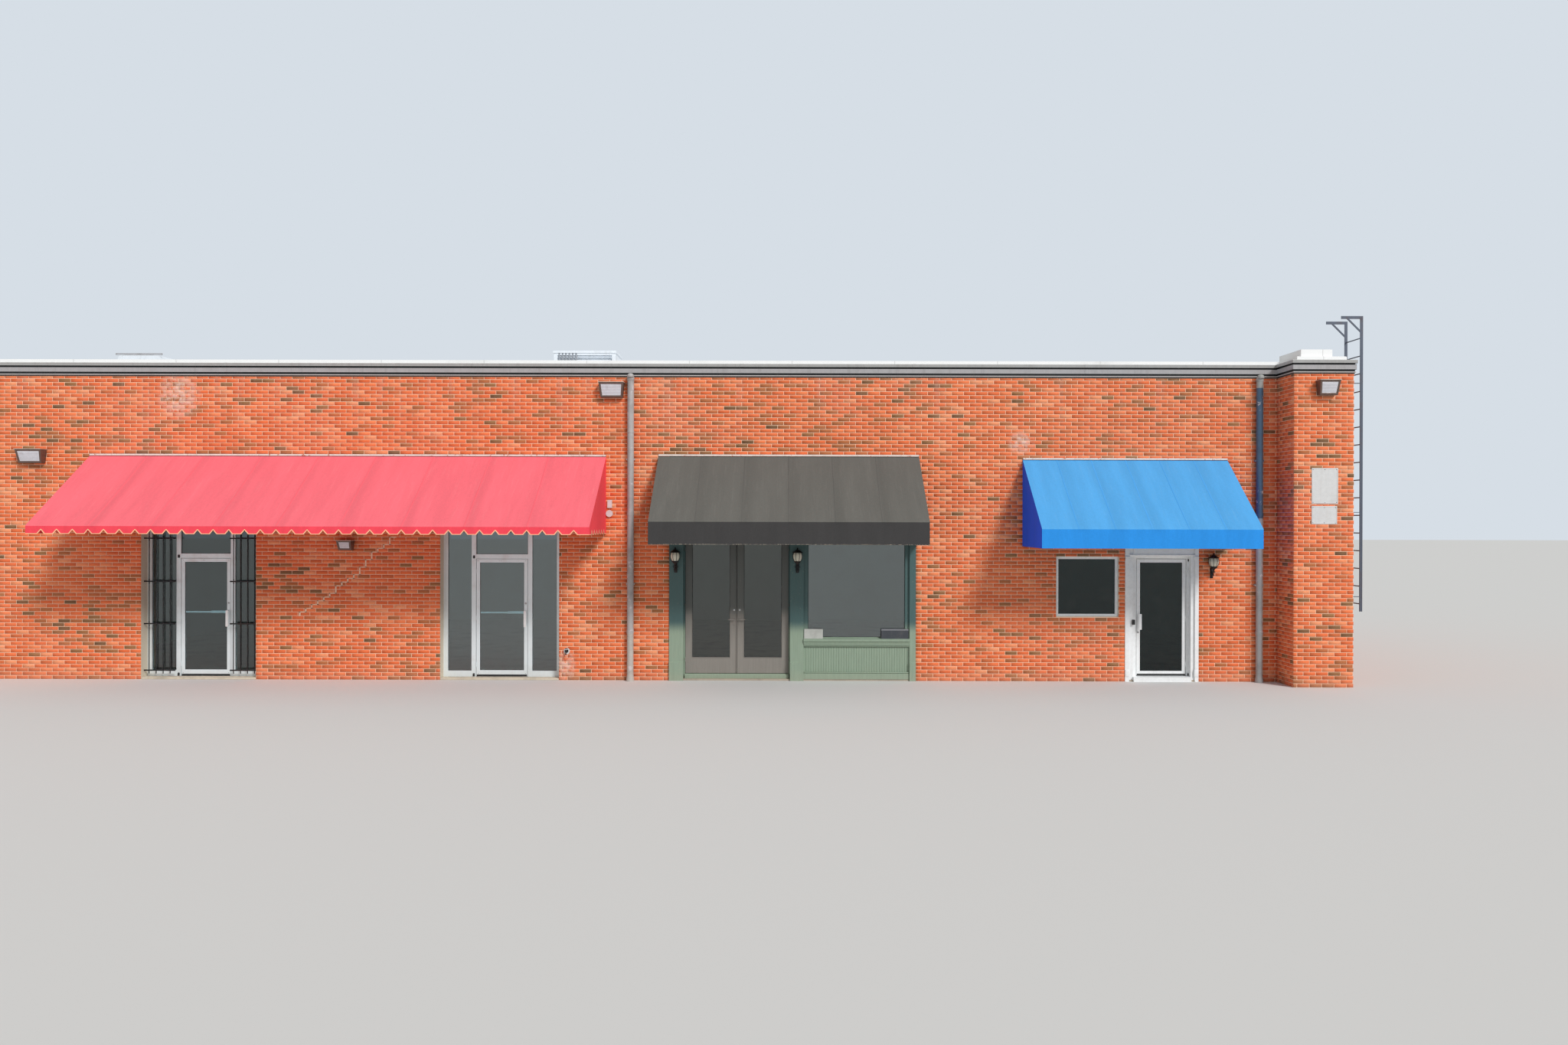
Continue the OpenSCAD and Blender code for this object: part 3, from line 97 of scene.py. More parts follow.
class Tree:
    """Writes a node tree: each method adds a node and returns its output."""

    def __init__(self, tree: bpy.types.NodeTree) -> None:
        """Keeps the tree that nodes are added to."""
        self.tree = tree

    def node(self, kind: str, **settings: object) -> bpy.types.Node:
        """Adds a node with some of its properties set."""
        made = self.tree.nodes.new(kind)
        for name, value in settings.items():
            setattr(made, name, value)
        return made

    def feed(self, value: object, socket: Socket) -> None:
        """Links an output to a socket, or sets the socket's own value."""
        if isinstance(value, Socket):
            self.tree.links.new(value, socket)
        else:
            socket.default_value = value

    def fill(self, node: bpy.types.Node, values: dict, out: str | int = 0) -> Socket:
        """Feeds several sockets of a node.

        Args:
            node: The node.
            values: Outputs or plain values by the name or number of the socket.
            out: Which output to give back.

        Returns:
            That output.
        """
        for name, value in values.items():
            self.feed(value, node.inputs[name])
        return node.outputs[out]

    def place(self) -> Socket:
        """The place on the piece, in metres in the CAD's frame."""
        return self.node("ShaderNodeTexCoord").outputs["Object"]

    def attribute(self, name: str) -> Socket:
        """A number that the mesh carries."""
        return self.node("ShaderNodeAttribute", attribute_name=name).outputs["Fac"]

    def split(self, vector: Socket) -> tuple[Socket, ...]:
        """Takes a vector apart."""
        parts = self.node("ShaderNodeSeparateXYZ")
        self.feed(vector, parts.inputs[0])
        return tuple(parts.outputs)

    def stretch(self, vector: Socket, scale: Point) -> Socket:
        """Scales a vector along each axis."""
        return self.fill(self.node("ShaderNodeMapping"), {"Vector": vector, "Scale": scale})

    def noise(self, vector: Socket, scale: object, detail: float = 3.0, rough: float = 0.55) -> Socket:
        """Adds a noise of a scale per metre."""
        values = {"Vector": vector, "Scale": scale, "Detail": detail, "Roughness": rough}
        return self.fill(self.node("ShaderNodeTexNoise"), values, "Fac")

    def math(self, kind: str, a: object, b: object = 0.0, clamp: bool = False) -> Socket:
        """Adds a sum of two values."""
        return self.fill(self.node("ShaderNodeMath", operation=kind, use_clamp=clamp), {0: a, 1: b})

    def add(self, a: object, b: object, clamp: bool = False) -> Socket:
        """Adds two values up."""
        return self.math("ADD", a, b, clamp)

    def sub(self, a: object, b: object, clamp: bool = False) -> Socket:
        """Takes the second value from the first."""
        return self.math("SUBTRACT", a, b, clamp)

    def mul(self, a: object, b: object, clamp: bool = False) -> Socket:
        """Multiplies two values."""
        return self.math("MULTIPLY", a, b, clamp)

    def above(self, a: object, b: object) -> Socket:
        """Gives 1 where the first value is larger."""
        return self.math("GREATER_THAN", a, b)

    def below(self, a: object, b: object) -> Socket:
        """Gives 1 where the first value is smaller."""
        return self.math("LESS_THAN", a, b)

    def about_one(self, value: Socket, middle: float, depth: object) -> Socket:
        """Makes a tone that swings about 1 as a value swings about its middle."""
        return self.add(self.mul(self.sub(value, middle), depth), 1.0)

    def span(
        self, value: Socket, low: float, high: float, to_low: float = 0.0, to_high: float = 1.0
    ) -> Socket:
        """Maps a value smoothly from one range to another, and stops at its ends."""
        values = {"Value": value, "From Min": low, "From Max": high, "To Min": to_low, "To Max": to_high}
        return self.fill(self.node("ShaderNodeMapRange", interpolation_type="SMOOTHSTEP"), values)

    def mix(self, share: object, a: object, b: object) -> Socket:
        """Mixes two colours."""
        ends = [linear(c) if isinstance(c, tuple) else c for c in (a, b)]
        return self.fill(self.node("ShaderNodeMix", data_type="RGBA"), {0: share, 6: ends[0], 7: ends[1]}, 2)

    def tone(self, colour: object, factor: Socket) -> Socket:
        """Makes a colour lighter or darker by a factor that changes over the surface."""
        return self.fill(self.node("ShaderNodeVectorMath", operation="SCALE"), {0: colour, "Scale": factor})

    def ramp(self, value: Socket, stops: Sequence[tuple[float, Rgb]], sharp: bool = False) -> Socket:
        """Looks a value up in a row of colours."""
        made = self.node("ShaderNodeValToRGB")
        row = made.color_ramp
        row.interpolation = "CONSTANT" if sharp else "LINEAR"
        while len(row.elements) < len(stops):
            row.elements.new(1.0)
        for element, (at, rgb) in zip(row.elements, stops):
            element.position = at
            element.color = linear(rgb)
        return self.fill(made, {0: value})

    def bump(self, height: Socket, strength: float, depth: float, under: Socket | None = None) -> Socket:
        """Turns a height into a normal, on top of another one if that is given."""
        values = {"Strength": strength, "Distance": depth, "Height": height}
        if under is not None:
            values["Normal"] = under
        return self.fill(self.node("ShaderNodeBump"), values)

    def effect(self, kind: "Effect", place: Socket, **values: object) -> Outputs:
        """Places a shared effect with its own values, and returns its outputs."""
        made = self.node("ShaderNodeGroup", node_tree=Effects.tree(kind))
        self.fill(made, {"Place": place, **values})
        return made.outputs

    def mask(self, kind: "Effect", place: Socket, **values: object) -> Socket:
        """Places a shared effect and returns its mask."""
        return self.effect(kind, place, **values)["Mask"]

    def surface(self, shader: Inputs, colour: Socket, rough: object, normal: Socket) -> None:
        """Feeds the shader's colour, roughness and normal."""
        self.feed(colour, shader["Base Color"])
        self.feed(rough, shader["Roughness"])
        self.feed(normal, shader["Normal"])


class Effect(Enum):
    """The effects that several finishes share."""

    GRAIN = "surface_grain"
    STREAKS = "rain_streaks"
    PATCHES = "weathered_patches"
    FOOT = "splashed_foot"
    WEAVE = "canvas_weave"
    FLAKES = "flaking_paint"
    TIMBER = "timber_grain"
    BRUSH = "brushed_metal"


class Effects:
    """Builds each shared effect once, as a node group that reads a place and a few numbers."""

    made: dict[Effect, bpy.types.NodeTree] = {}
    sockets: dict[Effect, tuple[dict[str, float], tuple[str, ...]]] = {
        Effect.GRAIN: ({"Scale": 60.0, "Depth": 0.15}, ("Tone", "Height")),
        Effect.STREAKS: ({"Scale": 6.0, "Top": 5.4, "Reach": 1.0}, ("Mask",)),
        Effect.PATCHES: ({"Scale": 0.6, "Share": 0.5}, ("Mask",)),
        Effect.FOOT: ({"Reach": 0.4}, ("Mask",)),
        Effect.WEAVE: ({"Threads": 700.0}, ("Height", "Tone")),
        Effect.FLAKES: ({"Scale": 9.0, "Share": 0.35}, ("Mask", "Height")),
        Effect.TIMBER: ({"Scale": 30.0}, ("Tone", "Height")),
        Effect.BRUSH: ({"Scale": 260.0}, ("Tone", "Height")),
    }

    @classmethod
    def tree(cls, kind: Effect) -> bpy.types.NodeTree:
        """Gives the group of an effect, built at its first use.

        Args:
            kind: The effect.

        Returns:
            Its node tree.
        """
        if kind not in cls.made:
            ins, outs = cls.sockets[kind]
            tree = bpy.data.node_groups.new(kind.value, "ShaderNodeTree")
            tree.interface.new_socket("Place", in_out="INPUT", socket_type="NodeSocketVector")
            for name, value in ins.items():
                socket = tree.interface.new_socket(name, in_out="INPUT", socket_type="NodeSocketFloat")
                socket.default_value = value
            for name in outs:
                tree.interface.new_socket(name, in_out="OUTPUT", socket_type="NodeSocketFloat")
            source = tree.nodes.new("NodeGroupInput")
            sink = tree.nodes.new("NodeGroupOutput")
            t = Tree(tree)
            results = getattr(cls, kind.name.lower())(t, source.outputs)
            for name, value in zip(outs, results):
                t.feed(value, sink.inputs[name])
            cls.made[kind] = tree
        return cls.made[kind]

    @staticmethod
    def grain(t: Tree, i: Outputs) -> tuple[Socket, ...]:
        """Fine sandy grain: a tone about 1 and a height."""
        fine = t.noise(i["Place"], i["Scale"], 4.0, 0.7)
        coarse = t.noise(i["Place"], t.mul(i["Scale"], 0.17), 2.0)
        both = t.add(t.mul(fine, 0.6), t.mul(coarse, 0.4))
        return t.about_one(both, 0.5, t.mul(i["Depth"], 3.0)), both

    @staticmethod
    def streaks(t: Tree, i: Outputs) -> tuple[Socket, ...]:
        """Rain streaks that run down from a height: a mask."""
        lines = t.span(t.noise(t.stretch(i["Place"], (1, 1, 0.06)), i["Scale"], 4.0, 0.65), 0.5, 0.72)
        down = t.math("DIVIDE", t.sub(i["Top"], t.split(i["Place"])[2]), i["Reach"])
        return (t.mul(lines, t.sub(1.0, down, True), True),)

    @staticmethod
    def patches(t: Tree, i: Outputs) -> tuple[Socket, ...]:
        """Broad weathered patches with ragged edges: a mask."""
        broad = t.noise(i["Place"], i["Scale"], 5.0, 0.6)
        return (t.mul(t.sub(broad, t.sub(0.75, t.mul(i["Share"], 0.5))), 5.0, True),)

    @staticmethod
    def foot(t: Tree, i: Outputs) -> tuple[Socket, ...]:
        """Dirt that splashes up from the ground: a mask."""
        ragged = t.mul(t.noise(i["Place"], 3.0, 5.0, 0.65), 1.4)
        up = t.math("DIVIDE", t.split(i["Place"])[2], t.mul(i["Reach"], ragged))
        return (t.sub(1.0, up, True),)

    @staticmethod
    def weave(t: Tree, i: Outputs) -> tuple[Socket, ...]:
        """Canvas weave on a map in metres: a height of crossing threads and a slubby tone."""
        u, v, _ = t.split(i["Place"])
        warp, weft = (t.math("SINE", t.mul(way, i["Threads"])) for way in (u, v))
        long, wide = (t.noise(t.stretch(i["Place"], way), 14.0, 3.0) for way in ((9, 1, 1), (1, 9, 1)))
        return t.mul(t.add(warp, weft), 0.25), t.about_one(t.add(long, wide), 1.0, 0.22)

    @staticmethod
    def flakes(t: Tree, i: Outputs) -> tuple[Socket, ...]:
        """Flaking paint: a sharp-edged mask of what has come off, and the raised rim of what is left."""
        line = t.sub(0.68, t.mul(i["Share"], 0.4))
        off = t.sub(t.noise(i["Place"], i["Scale"], 6.0, 0.7), line)
        return t.mul(off, 30.0, True), t.sub(1.0, t.mul(off, 12.0, True))

    @staticmethod
    def timber(t: Tree, i: Outputs) -> tuple[Socket, ...]:
        """Upright timber grain under paint: a tone about 1 and a height."""
        lines = t.noise(t.stretch(i["Place"], (1, 1, 0.05)), i["Scale"], 4.0, 0.6)
        return t.about_one(lines, 0.5, 0.35), lines

    @staticmethod
    def brush(t: Tree, i: Outputs) -> tuple[Socket, ...]:
        """Fine upright brushing of metal: a tone about 1 and a height."""
        lines = t.noise(t.stretch(i["Place"], (1, 1, 0.02)), i["Scale"], 2.0)
        smear = t.noise(i["Place"], 5.0, 4.0, 0.6)
        return t.about_one(t.add(t.mul(lines, 0.5), t.mul(smear, 0.5)), 0.5, 0.3), lines


MATERIALS: dict[str, bpy.types.Material] = {}


@dataclass(frozen=True)
class Finish:
    """A finish: its material is built at first use and then shared."""

    name: str

    def material(self) -> bpy.types.Material:
        """Gives the material, built at first use."""
        if self.name not in MATERIALS:
            made = bpy.data.materials.new(f"finish_{self.name}")
            MATERIALS[self.name] = made
            made.use_nodes = True
            made.node_tree.nodes.clear()
            t = Tree(made.node_tree)
            shader = t.node("ShaderNodeBsdfPrincipled")
            t.feed(shader.outputs[0], t.node("ShaderNodeOutputMaterial").inputs["Surface"])
            self.paint(t, shader.inputs)
        return MATERIALS[self.name]

    def paint(self, t: Tree, shader: Inputs) -> None:
        """Fills the shader's sockets; each kind of finish has its own.

        Args:
            t: The material's tree.
            shader: The sockets of its Principled BSDF.
        """
        raise NotImplementedError


@dataclass(frozen=True)
class BrickFace(Finish):
    """Fired brick whose every brick has a tone of its own, with a sandy face and rain marks."""

    tones: tuple[tuple[float, Rgb], ...] = (
        (0.0, (124, 90, 60)), (0.05, (158, 110, 68)), (0.10, (200, 110, 64)), (0.20, (226, 110, 62)),
        (0.45, (234, 114, 64)), (0.70, (240, 122, 72)), (0.92, (244, 134, 84)), (1.0, (243, 154, 108)),
    )
    blooms: tuple[Rect, ...] = (
        (-8.39, 5.04, 0.42, 0.48), (-1.52, 0.26, 0.20, 0.30), (6.55, 4.23, 0.26, 0.22),
    )

    def bloom(self, t: Tree, place: Socket) -> Socket:
        """Pale salt bloom round a few damp places on the front: a mask."""
        x, y, z = t.split(place)
        total: object = 0.0
        for at_x, at_z, wide, high in self.blooms:
            across = t.math("DIVIDE", t.sub(x, at_x), wide)
            up = t.math("DIVIDE", t.sub(z, at_z), high)
            total = t.add(total, t.sub(1.0, t.add(t.mul(across, across), t.mul(up, up)), True))
        spotted = t.mul(total, t.span(t.noise(place, 9.0, 5.0, 0.7), 0.36, 0.58))
        return t.mul(t.mul(spotted, t.below(y, -5.9)), 0.75, True)

    def paint(self, t: Tree, shader: Inputs) -> None:
        """Fills the shader's sockets."""
        place = t.place()
        base = t.ramp(t.attribute("tone"), self.tones)
        layers = (
            (Effect.PATCHES, {"Scale": 0.35, "Share": 0.45}, 0.22, (224, 140, 118)),
            (Effect.PATCHES, {"Scale": 26.0, "Share": 0.4}, 0.35, (150, 104, 66)),
            (Effect.STREAKS, {"Scale": 5.0, "Top": 5.4, "Reach": 1.3}, 0.4, (205, 150, 130)),
            (Effect.FOOT, {"Reach": 0.35}, 0.35, (190, 140, 114)),
        )
        for kind, values, share, colour in layers:
            base = t.mix(t.mul(t.mask(kind, place, **values), share), base, colour)
        base = t.mix(self.bloom(t, place), base, (232, 206, 192))
        grain = t.effect(Effect.GRAIN, place, Scale=240.0, Depth=0.22)
        rough = t.span(grain["Height"], 0.3, 0.7, 0.78, 0.95)
        t.surface(shader, t.tone(base, grain["Tone"]), rough, t.bump(grain["Height"], 0.6, 0.0015))


@dataclass(frozen=True)
class Mortar(Finish):
    """Pale mortar on the outside of a wall, and painted plaster on its inside."""

    colour: Rgb = (250, 214, 184)
    plaster: Rgb = (206, 202, 192)
    reveal: Rgb = (214, 204, 184)

    def paint(self, t: Tree, shader: Inputs) -> None:
        """Fills the shader's sockets."""
        place = t.place()
        x, y, _ = t.split(place)
        inside = t.mul(t.mul(t.above(y, -5.72), t.below(y, 5.72)), t.below(t.math("ABSOLUTE", x), 11.83))
        patches = t.mask(Effect.PATCHES, place, Scale=1.3, Share=0.5)
        joint = t.mix(t.mul(patches, 0.45), self.colour, (214, 164, 132))
        cut = t.mul(t.above(y, -5.995), t.below(y, -5.7))
        colour = t.mix(inside, t.mix(cut, joint, self.reveal), self.plaster)
        grain = t.effect(Effect.GRAIN, place, Scale=300.0, Depth=0.2)
        t.surface(shader, t.tone(colour, grain["Tone"]), 0.92, t.bump(grain["Height"], 0.5, 0.001))


@dataclass(frozen=True)
class Concrete(Finish):
    """Trowelled concrete with stains and fine pits."""

    colour: Rgb = (178, 166, 150)

    def paint(self, t: Tree, shader: Inputs) -> None:
        """Fills the shader's sockets."""
        place = t.place()
        stains = t.mask(Effect.PATCHES, place, Scale=2.0, Share=0.5)
        grain = t.effect(Effect.GRAIN, place, Scale=120.0, Depth=0.2)
        colour = t.mix(t.mul(stains, 0.5), self.colour, (126, 116, 104))
        t.surface(shader, t.tone(colour, grain["Tone"]), 0.85, t.bump(grain["Height"], 0.5, 0.002))


@dataclass(frozen=True)
class Membrane(Finish):
    """White roof sheeting with welded laps and dust where water has stood."""

    lap: float = 1.83

    def paint(self, t: Tree, shader: Inputs) -> None:
        """Fills the shader's sockets."""
        place = t.place()
        across = t.math("FRACT", t.math("DIVIDE", t.add(t.split(place)[0], 100.0), self.lap))
        dust = t.mask(Effect.PATCHES, place, Scale=0.9, Share=0.45)
        colour = t.mix(t.mul(dust, 0.3), (250, 251, 251), (206, 206, 202))
        colour = t.mix(t.mul(t.below(across, 0.006), 0.5), colour, (170, 170, 168))
        height = t.add(t.mul(t.noise(place, 3.0, 4.0), 0.8), t.mul(t.span(across, 0.0, 0.02), 0.4))
        t.surface(shader, colour, t.span(dust, 0.0, 1.0, 0.72, 0.9), t.bump(height, 0.5, 0.006))


@dataclass(frozen=True)
class Metal(Finish):
    """Bare or painted metal with brushing or grain, stains, and flakes where its paint is old."""

    colour: Rgb = (150, 150, 150)
    stain: Rgb = (110, 104, 98)
    stained: float = 0.25
    metallic: float = 0.0
    rough: float = 0.5
    flaked: Rgb | None = None
    flake_share: float = 0.3
    flake_scale: float = 9.0
    brushed: bool = False

    def body(self, t: Tree, place: Socket) -> Socket:
        """The colour under the stains."""
        return t.mix(0.0, self.colour, self.colour)

    def paint(self, t: Tree, shader: Inputs) -> None:
        """Fills the shader's sockets."""
        place = t.place()
        kind, scale = (Effect.BRUSH, 260.0) if self.brushed else (Effect.GRAIN, 90.0)
        fine = t.effect(kind, place, Scale=scale)
        colour = self.body(t, place)
        height = fine["Height"]
        if self.flaked is not None:
            flakes = t.effect(Effect.FLAKES, place, Scale=self.flake_scale, Share=self.flake_share)
            colour = t.mix(flakes["Mask"], colour, self.flaked)
            height = t.add(t.mul(height, 0.2), flakes["Height"])
        stains = t.mask(Effect.PATCHES, place, Scale=4.0, Share=0.45)
        rain = t.mask(Effect.STREAKS, place, Scale=14.0, Top=6.5, Reach=9.0)
        colour = t.mix(t.mul(t.add(stains, rain, True), self.stained), colour, self.stain)
        shader["Metallic"].default_value = self.metallic
        rough = t.span(stains, 0.0, 1.0, self.rough - 0.06, self.rough + 0.14)
        t.surface(shader, t.tone(colour, fine["Tone"]), rough, t.bump(height, 0.25, 0.0008))


@dataclass(frozen=True)
class CopingMetal(Metal):
    """The coping's painted bands: pale cap, grey fascia and a pale bead, with painted shadow as near-black
    bands in its two grooves and as a dark band at its foot.
    """

    foot: float = 5.37
    reach: float = 0.26
    # By height: the near-black bands from 5.4150 and 5.5285 are painted shadow in the grooves, and the dark
    # band from 5.37 is painted shadow under the bead.
    bands: tuple[tuple[float, Rgb], ...] = (
        (5.37, (84, 74, 70)), (5.3995, (196, 190, 186)), (5.4150, (20, 20, 21)), (5.4530, (170, 168, 169)),
        (5.5285, (18, 18, 19)), (5.5615, (166, 166, 164)), (5.6100, (206, 206, 204)),
    )

    def body(self, t: Tree, place: Socket) -> Socket:
        """The band's colour, by its height."""
        share = t.math("DIVIDE", t.sub(t.split(place)[2], self.foot), self.reach)
        return t.ramp(share, [((z - self.foot) / self.reach, rgb) for z, rgb in self.bands], sharp=True)


@dataclass(frozen=True)
class SpoutMetal(Metal):
    """Downspout paint: mauve-grey and peeling on the left pipe, slate blue on the right one."""

    def body(self, t: Tree, place: Socket) -> Socket:
        """The pipe's colour, by which pipe it is and by height."""
        x, _, z = t.split(place)
        left = t.mix(t.below(z, 0.85), (178, 174, 172), (188, 182, 174))
        right = t.mix(t.below(z, 2.9), (74, 104, 130), (172, 174, 174))
        right = t.mix(t.above(z, 5.2), right, (168, 170, 166))
        return t.mix(t.above(x, 5.0), left, right)


@dataclass(frozen=True)
class SillBoxPaint(Metal):
    """The two boxes on the shop window's sill: a pale one on the left, a dark grey one on the right."""

    def body(self, t: Tree, place: Socket) -> Socket:
        """The box's colour, by which box it is; the dark one's top is painted paler as a highlight."""
        x, _, z = t.split(place)
        # Painted highlight: the dark box is paler above 0.900 m, on its top.
        dark = t.mix(t.above(z, 0.900), (62, 66, 72), (128, 130, 134))
        return t.mix(t.above(x, 3.6), (190, 192, 186), dark)


@dataclass(frozen=True)
class Canvas(Finish):
    """Awning canvas: woven, dusty along its folds, with painted sunlight on its slope (a paler copy of its
    colour) and painted shade in soft bands beside its seams.
    """

    colour: Rgb
    faded: Rgb
    side: Rgb
    dust: Rgb
    # Depth of the painted shade beside the seams.
    seam_shade_depth: float = 0.12
    frayed: float = 0.0

    def paint(self, t: Tree, shader: Inputs) -> None:
        """Fills the shader's sockets."""
        uv = t.node("ShaderNodeUVMap", uv_map="cloth").outputs["UV"]
        weave = t.effect(Effect.WEAVE, uv, Threads=1500.0)
        sun = t.attribute("sunlit")
        # Painted light: slope faces take a paler, sunlit copy of the colour; the ends take their own colour.
        colour = t.mix(t.attribute("end_panel"), t.mix(sun, self.colour, self.faded), self.side)
        washed = t.noise(t.stretch(uv, (1.6, 0.22, 1.0)), 2.2, 4.0, 0.6)
        # Painted shade: the cloth is darkened in soft bands beside each seam.
        seam = t.mul(t.attribute("seam_shade"), t.span(washed, 0.2, 0.7, 0.5, 1.2))
        bands = t.sub(t.span(washed, 0.35, 0.68, 0.95, 1.05), t.mul(seam, self.seam_shade_depth))
        rain = t.span(t.noise(t.stretch(uv, (8.0, 0.5, 1.0)), 3.0, 4.0, 0.65), 0.52, 0.75)
        colour = t.mix(t.mul(t.mul(rain, sun), 0.12), colour, self.dust)
        threads = t.span(t.noise(uv, 55.0, 3.0, 0.7), 0.50, 0.60)
        frayed = t.mul(t.mul(threads, t.attribute("hem_row")), self.frayed)
        colour = t.tone(t.mix(frayed, colour, (214, 204, 180)), t.mul(bands, weave["Tone"]))
        for name, value in (("Specular IOR Level", 0.15), ("Sheen Weight", 0.06), ("Sheen Roughness", 0.5)):
            shader[name].default_value = value
        t.surface(shader, colour, 0.78, t.bump(weave["Height"], 0.35, 0.0006, t.bump(washed, 0.25, 0.02)))


@dataclass(frozen=True)
class Glass(Finish):
    """Clear glass with a faint film of dust, and a darker tint from a place along the front on."""

    tint: Rgb = (226, 238, 234)
    # Panes right of the place given next take this darker tint.
    darker_tint: Rgb = (118, 164, 168)
    darker_tint_from: float = 6.0
    gloss: float = 0.22

    def paint(self, t: Tree, shader: Inputs) -> None:
        """Fills the shader's sockets."""
        place = t.place()
        film = t.mask(Effect.PATCHES, place, Scale=3.0, Share=0.5)
        x = t.split(place)[0]
        tint = t.mix(t.above(x, self.darker_tint_from), self.tint, self.darker_tint)
        t.feed(t.mix(t.mul(film, 0.12), tint, (206, 212, 208)), shader["Base Color"])
        t.feed(t.span(film, 0.0, 1.0, 0.01, 0.05), shader["Roughness"])
        share = t.mul(t.add(t.mul(t.above(x, -6.0), 0.6), 0.4), t.below(x, self.darker_tint_from))
        t.feed(t.mul(share, self.gloss), shader["Coat Weight"])
        plain = {"Transmission Weight": 1.0, "IOR": 1.45, "Specular IOR Level": 0.2, "Coat IOR": 2.0}
        for name, value in (*plain.items(), ("Coat Roughness", 0.02)):
            shader[name].default_value = value


@dataclass(frozen=True)
class Timber(Finish):
    """Painted timber: grain under the paint, worn at its foot, and darker above a set height as painted shade
    of the awning.
    """

    colour: Rgb
    # The darker colour above turn_z is painted shade of the awning.
    upper: Rgb
    worn: Rgb
    turn_z: float = 1.0
    wear: float = 0.3

    def paint(self, t: Tree, shader: Inputs) -> None:
        """Fills the shader's sockets."""
        place = t.place()
        shade = t.span(t.split(place)[2], self.turn_z - 0.12, self.turn_z + 0.12)
        grain = t.effect(Effect.TIMBER, place, Scale=46.0)
        foot = t.mask(Effect.FOOT, place, Reach=0.3)
        flakes = t.mask(Effect.FLAKES, place, Scale=22.0, Share=0.12)
        worn = t.mul(t.add(foot, flakes, True), self.wear)
        colour = t.mix(worn, t.mix(shade, self.colour, self.upper), self.worn)
        rough = t.span(grain["Height"], 0.3, 0.7, 0.38, 0.56)
        t.surface(shader, t.tone(colour, grain["Tone"]), rough, t.bump(grain["Height"], 0.3, 0.0012))


class Palette:
    """Every finish of the building, named for what it covers."""

    brick = BrickFace("brick_face")
    mortar = Mortar("wall_mortar")
    patch_mortar = Mortar("patch_mortar", colour=(244, 216, 188))
    concrete = Concrete("floor_concrete")
    threshold = Concrete("threshold_concrete", (214, 204, 184))
    membrane = Membrane("roof_membrane")
    head_strip = Metal(
        "head_strip", (236, 222, 214), (190, 160, 146), 0.35, 0.0, 0.6, (206, 120, 92), 0.22, 16.0
    )
    coping = CopingMetal("coping_metal", stain=(96, 92, 88), stained=0.2, rough=0.45)
    roof_metal = Metal("roof_metal", (236, 243, 250), (168, 170, 170), 0.2, 0.1, 0.5)
    ladder = Metal("ladder_steel", (92, 98, 110), (96, 66, 46), 0.35, 0.5, 0.5)
    spout = SpoutMetal(
        "spout_paint", stain=(84, 76, 76), stained=0.3, rough=0.55, flaked=(208, 200, 202),
        flake_share=0.22, flake_scale=6.0,
    )
    tube = Metal("awning_tube", (150, 152, 154), (116, 92, 74), 0.2, 0.7, 0.4)
    # Each canvas gives its valance colour, a paler copy as painted sunlight on its slope, its end colour, its
    # dust, and where given the depth of the painted shade beside its seams.
    red = Canvas("red_canvas", (249, 76, 92), (250, 114, 126), (255, 60, 74), (250, 176, 176), 0.09)
    black = Canvas("black_canvas", (66, 65, 65), (104, 103, 98), (55, 54, 54), (152, 148, 142), frayed=0.55)
    blue = Canvas("blue_canvas", (46, 148, 233), (86, 171, 234), (0, 92, 255), (150, 198, 233), 0.09)
    binding = Canvas("hem_binding", (255, 188, 150), (255, 188, 150), (255, 188, 150), (255, 222, 200))
    shopfront = Metal("shopfront_aluminium", (232, 241, 243), (188, 182, 172), 0.2, 0.25, 0.36, brushed=True)
    glass = Glass("window_glass")
    street_glass = Glass("street_glass", (212, 238, 242), gloss=0.75)
    # The second colour of each paint is its painted shade under the awning, from turn_z up.
    green = Timber("green_paint", (144, 162, 142), (70, 99, 98), (170, 168, 146), 0.95, 0.3)
    door_paint = Timber("door_paint", (138, 133, 126), (92, 94, 90), (166, 158, 146), 1.2, 0.2)
    white = Metal("white_paint", (244, 246, 246), (200, 196, 188), 0.2, 0.0, 0.42)
    iron = Metal("black_iron", (34, 34, 36), (96, 62, 42), 0.25, 0.4, 0.5)
    lamp = Metal("lamp_bronze", (112, 92, 84), (74, 62, 56), 0.3, 0.4, 0.45)
    lens = Metal("lamp_lens", (224, 224, 230), (182, 180, 182), 0.3, 0.0, 0.18)
    lamp_lid = Metal("lamp_lid", (206, 190, 174), (120, 104, 94), 0.3, 0.2, 0.5)
    lantern_glass = Metal("lantern_glass", (222, 218, 200), (184, 176, 150), 0.3, 0.0, 0.2)
    fitting = Metal("fitting_white", (218, 218, 217), (176, 170, 162), 0.25, 0.0, 0.45)
    box_paint = SillBoxPaint("sill_box_paint", stain=(120, 118, 112), stained=0.25, rough=0.45)
    slot_grey = Metal("slot_grey", (150, 156, 164), (120, 120, 120), 0.2, 0.1, 0.5)
    gasket = Metal("black_gasket", (30, 30, 31), (64, 62, 60), 0.3, 0.0, 0.6)
    steel = Metal("bright_steel", (176, 176, 174), (120, 112, 104), 0.2, 0.85, 0.3)


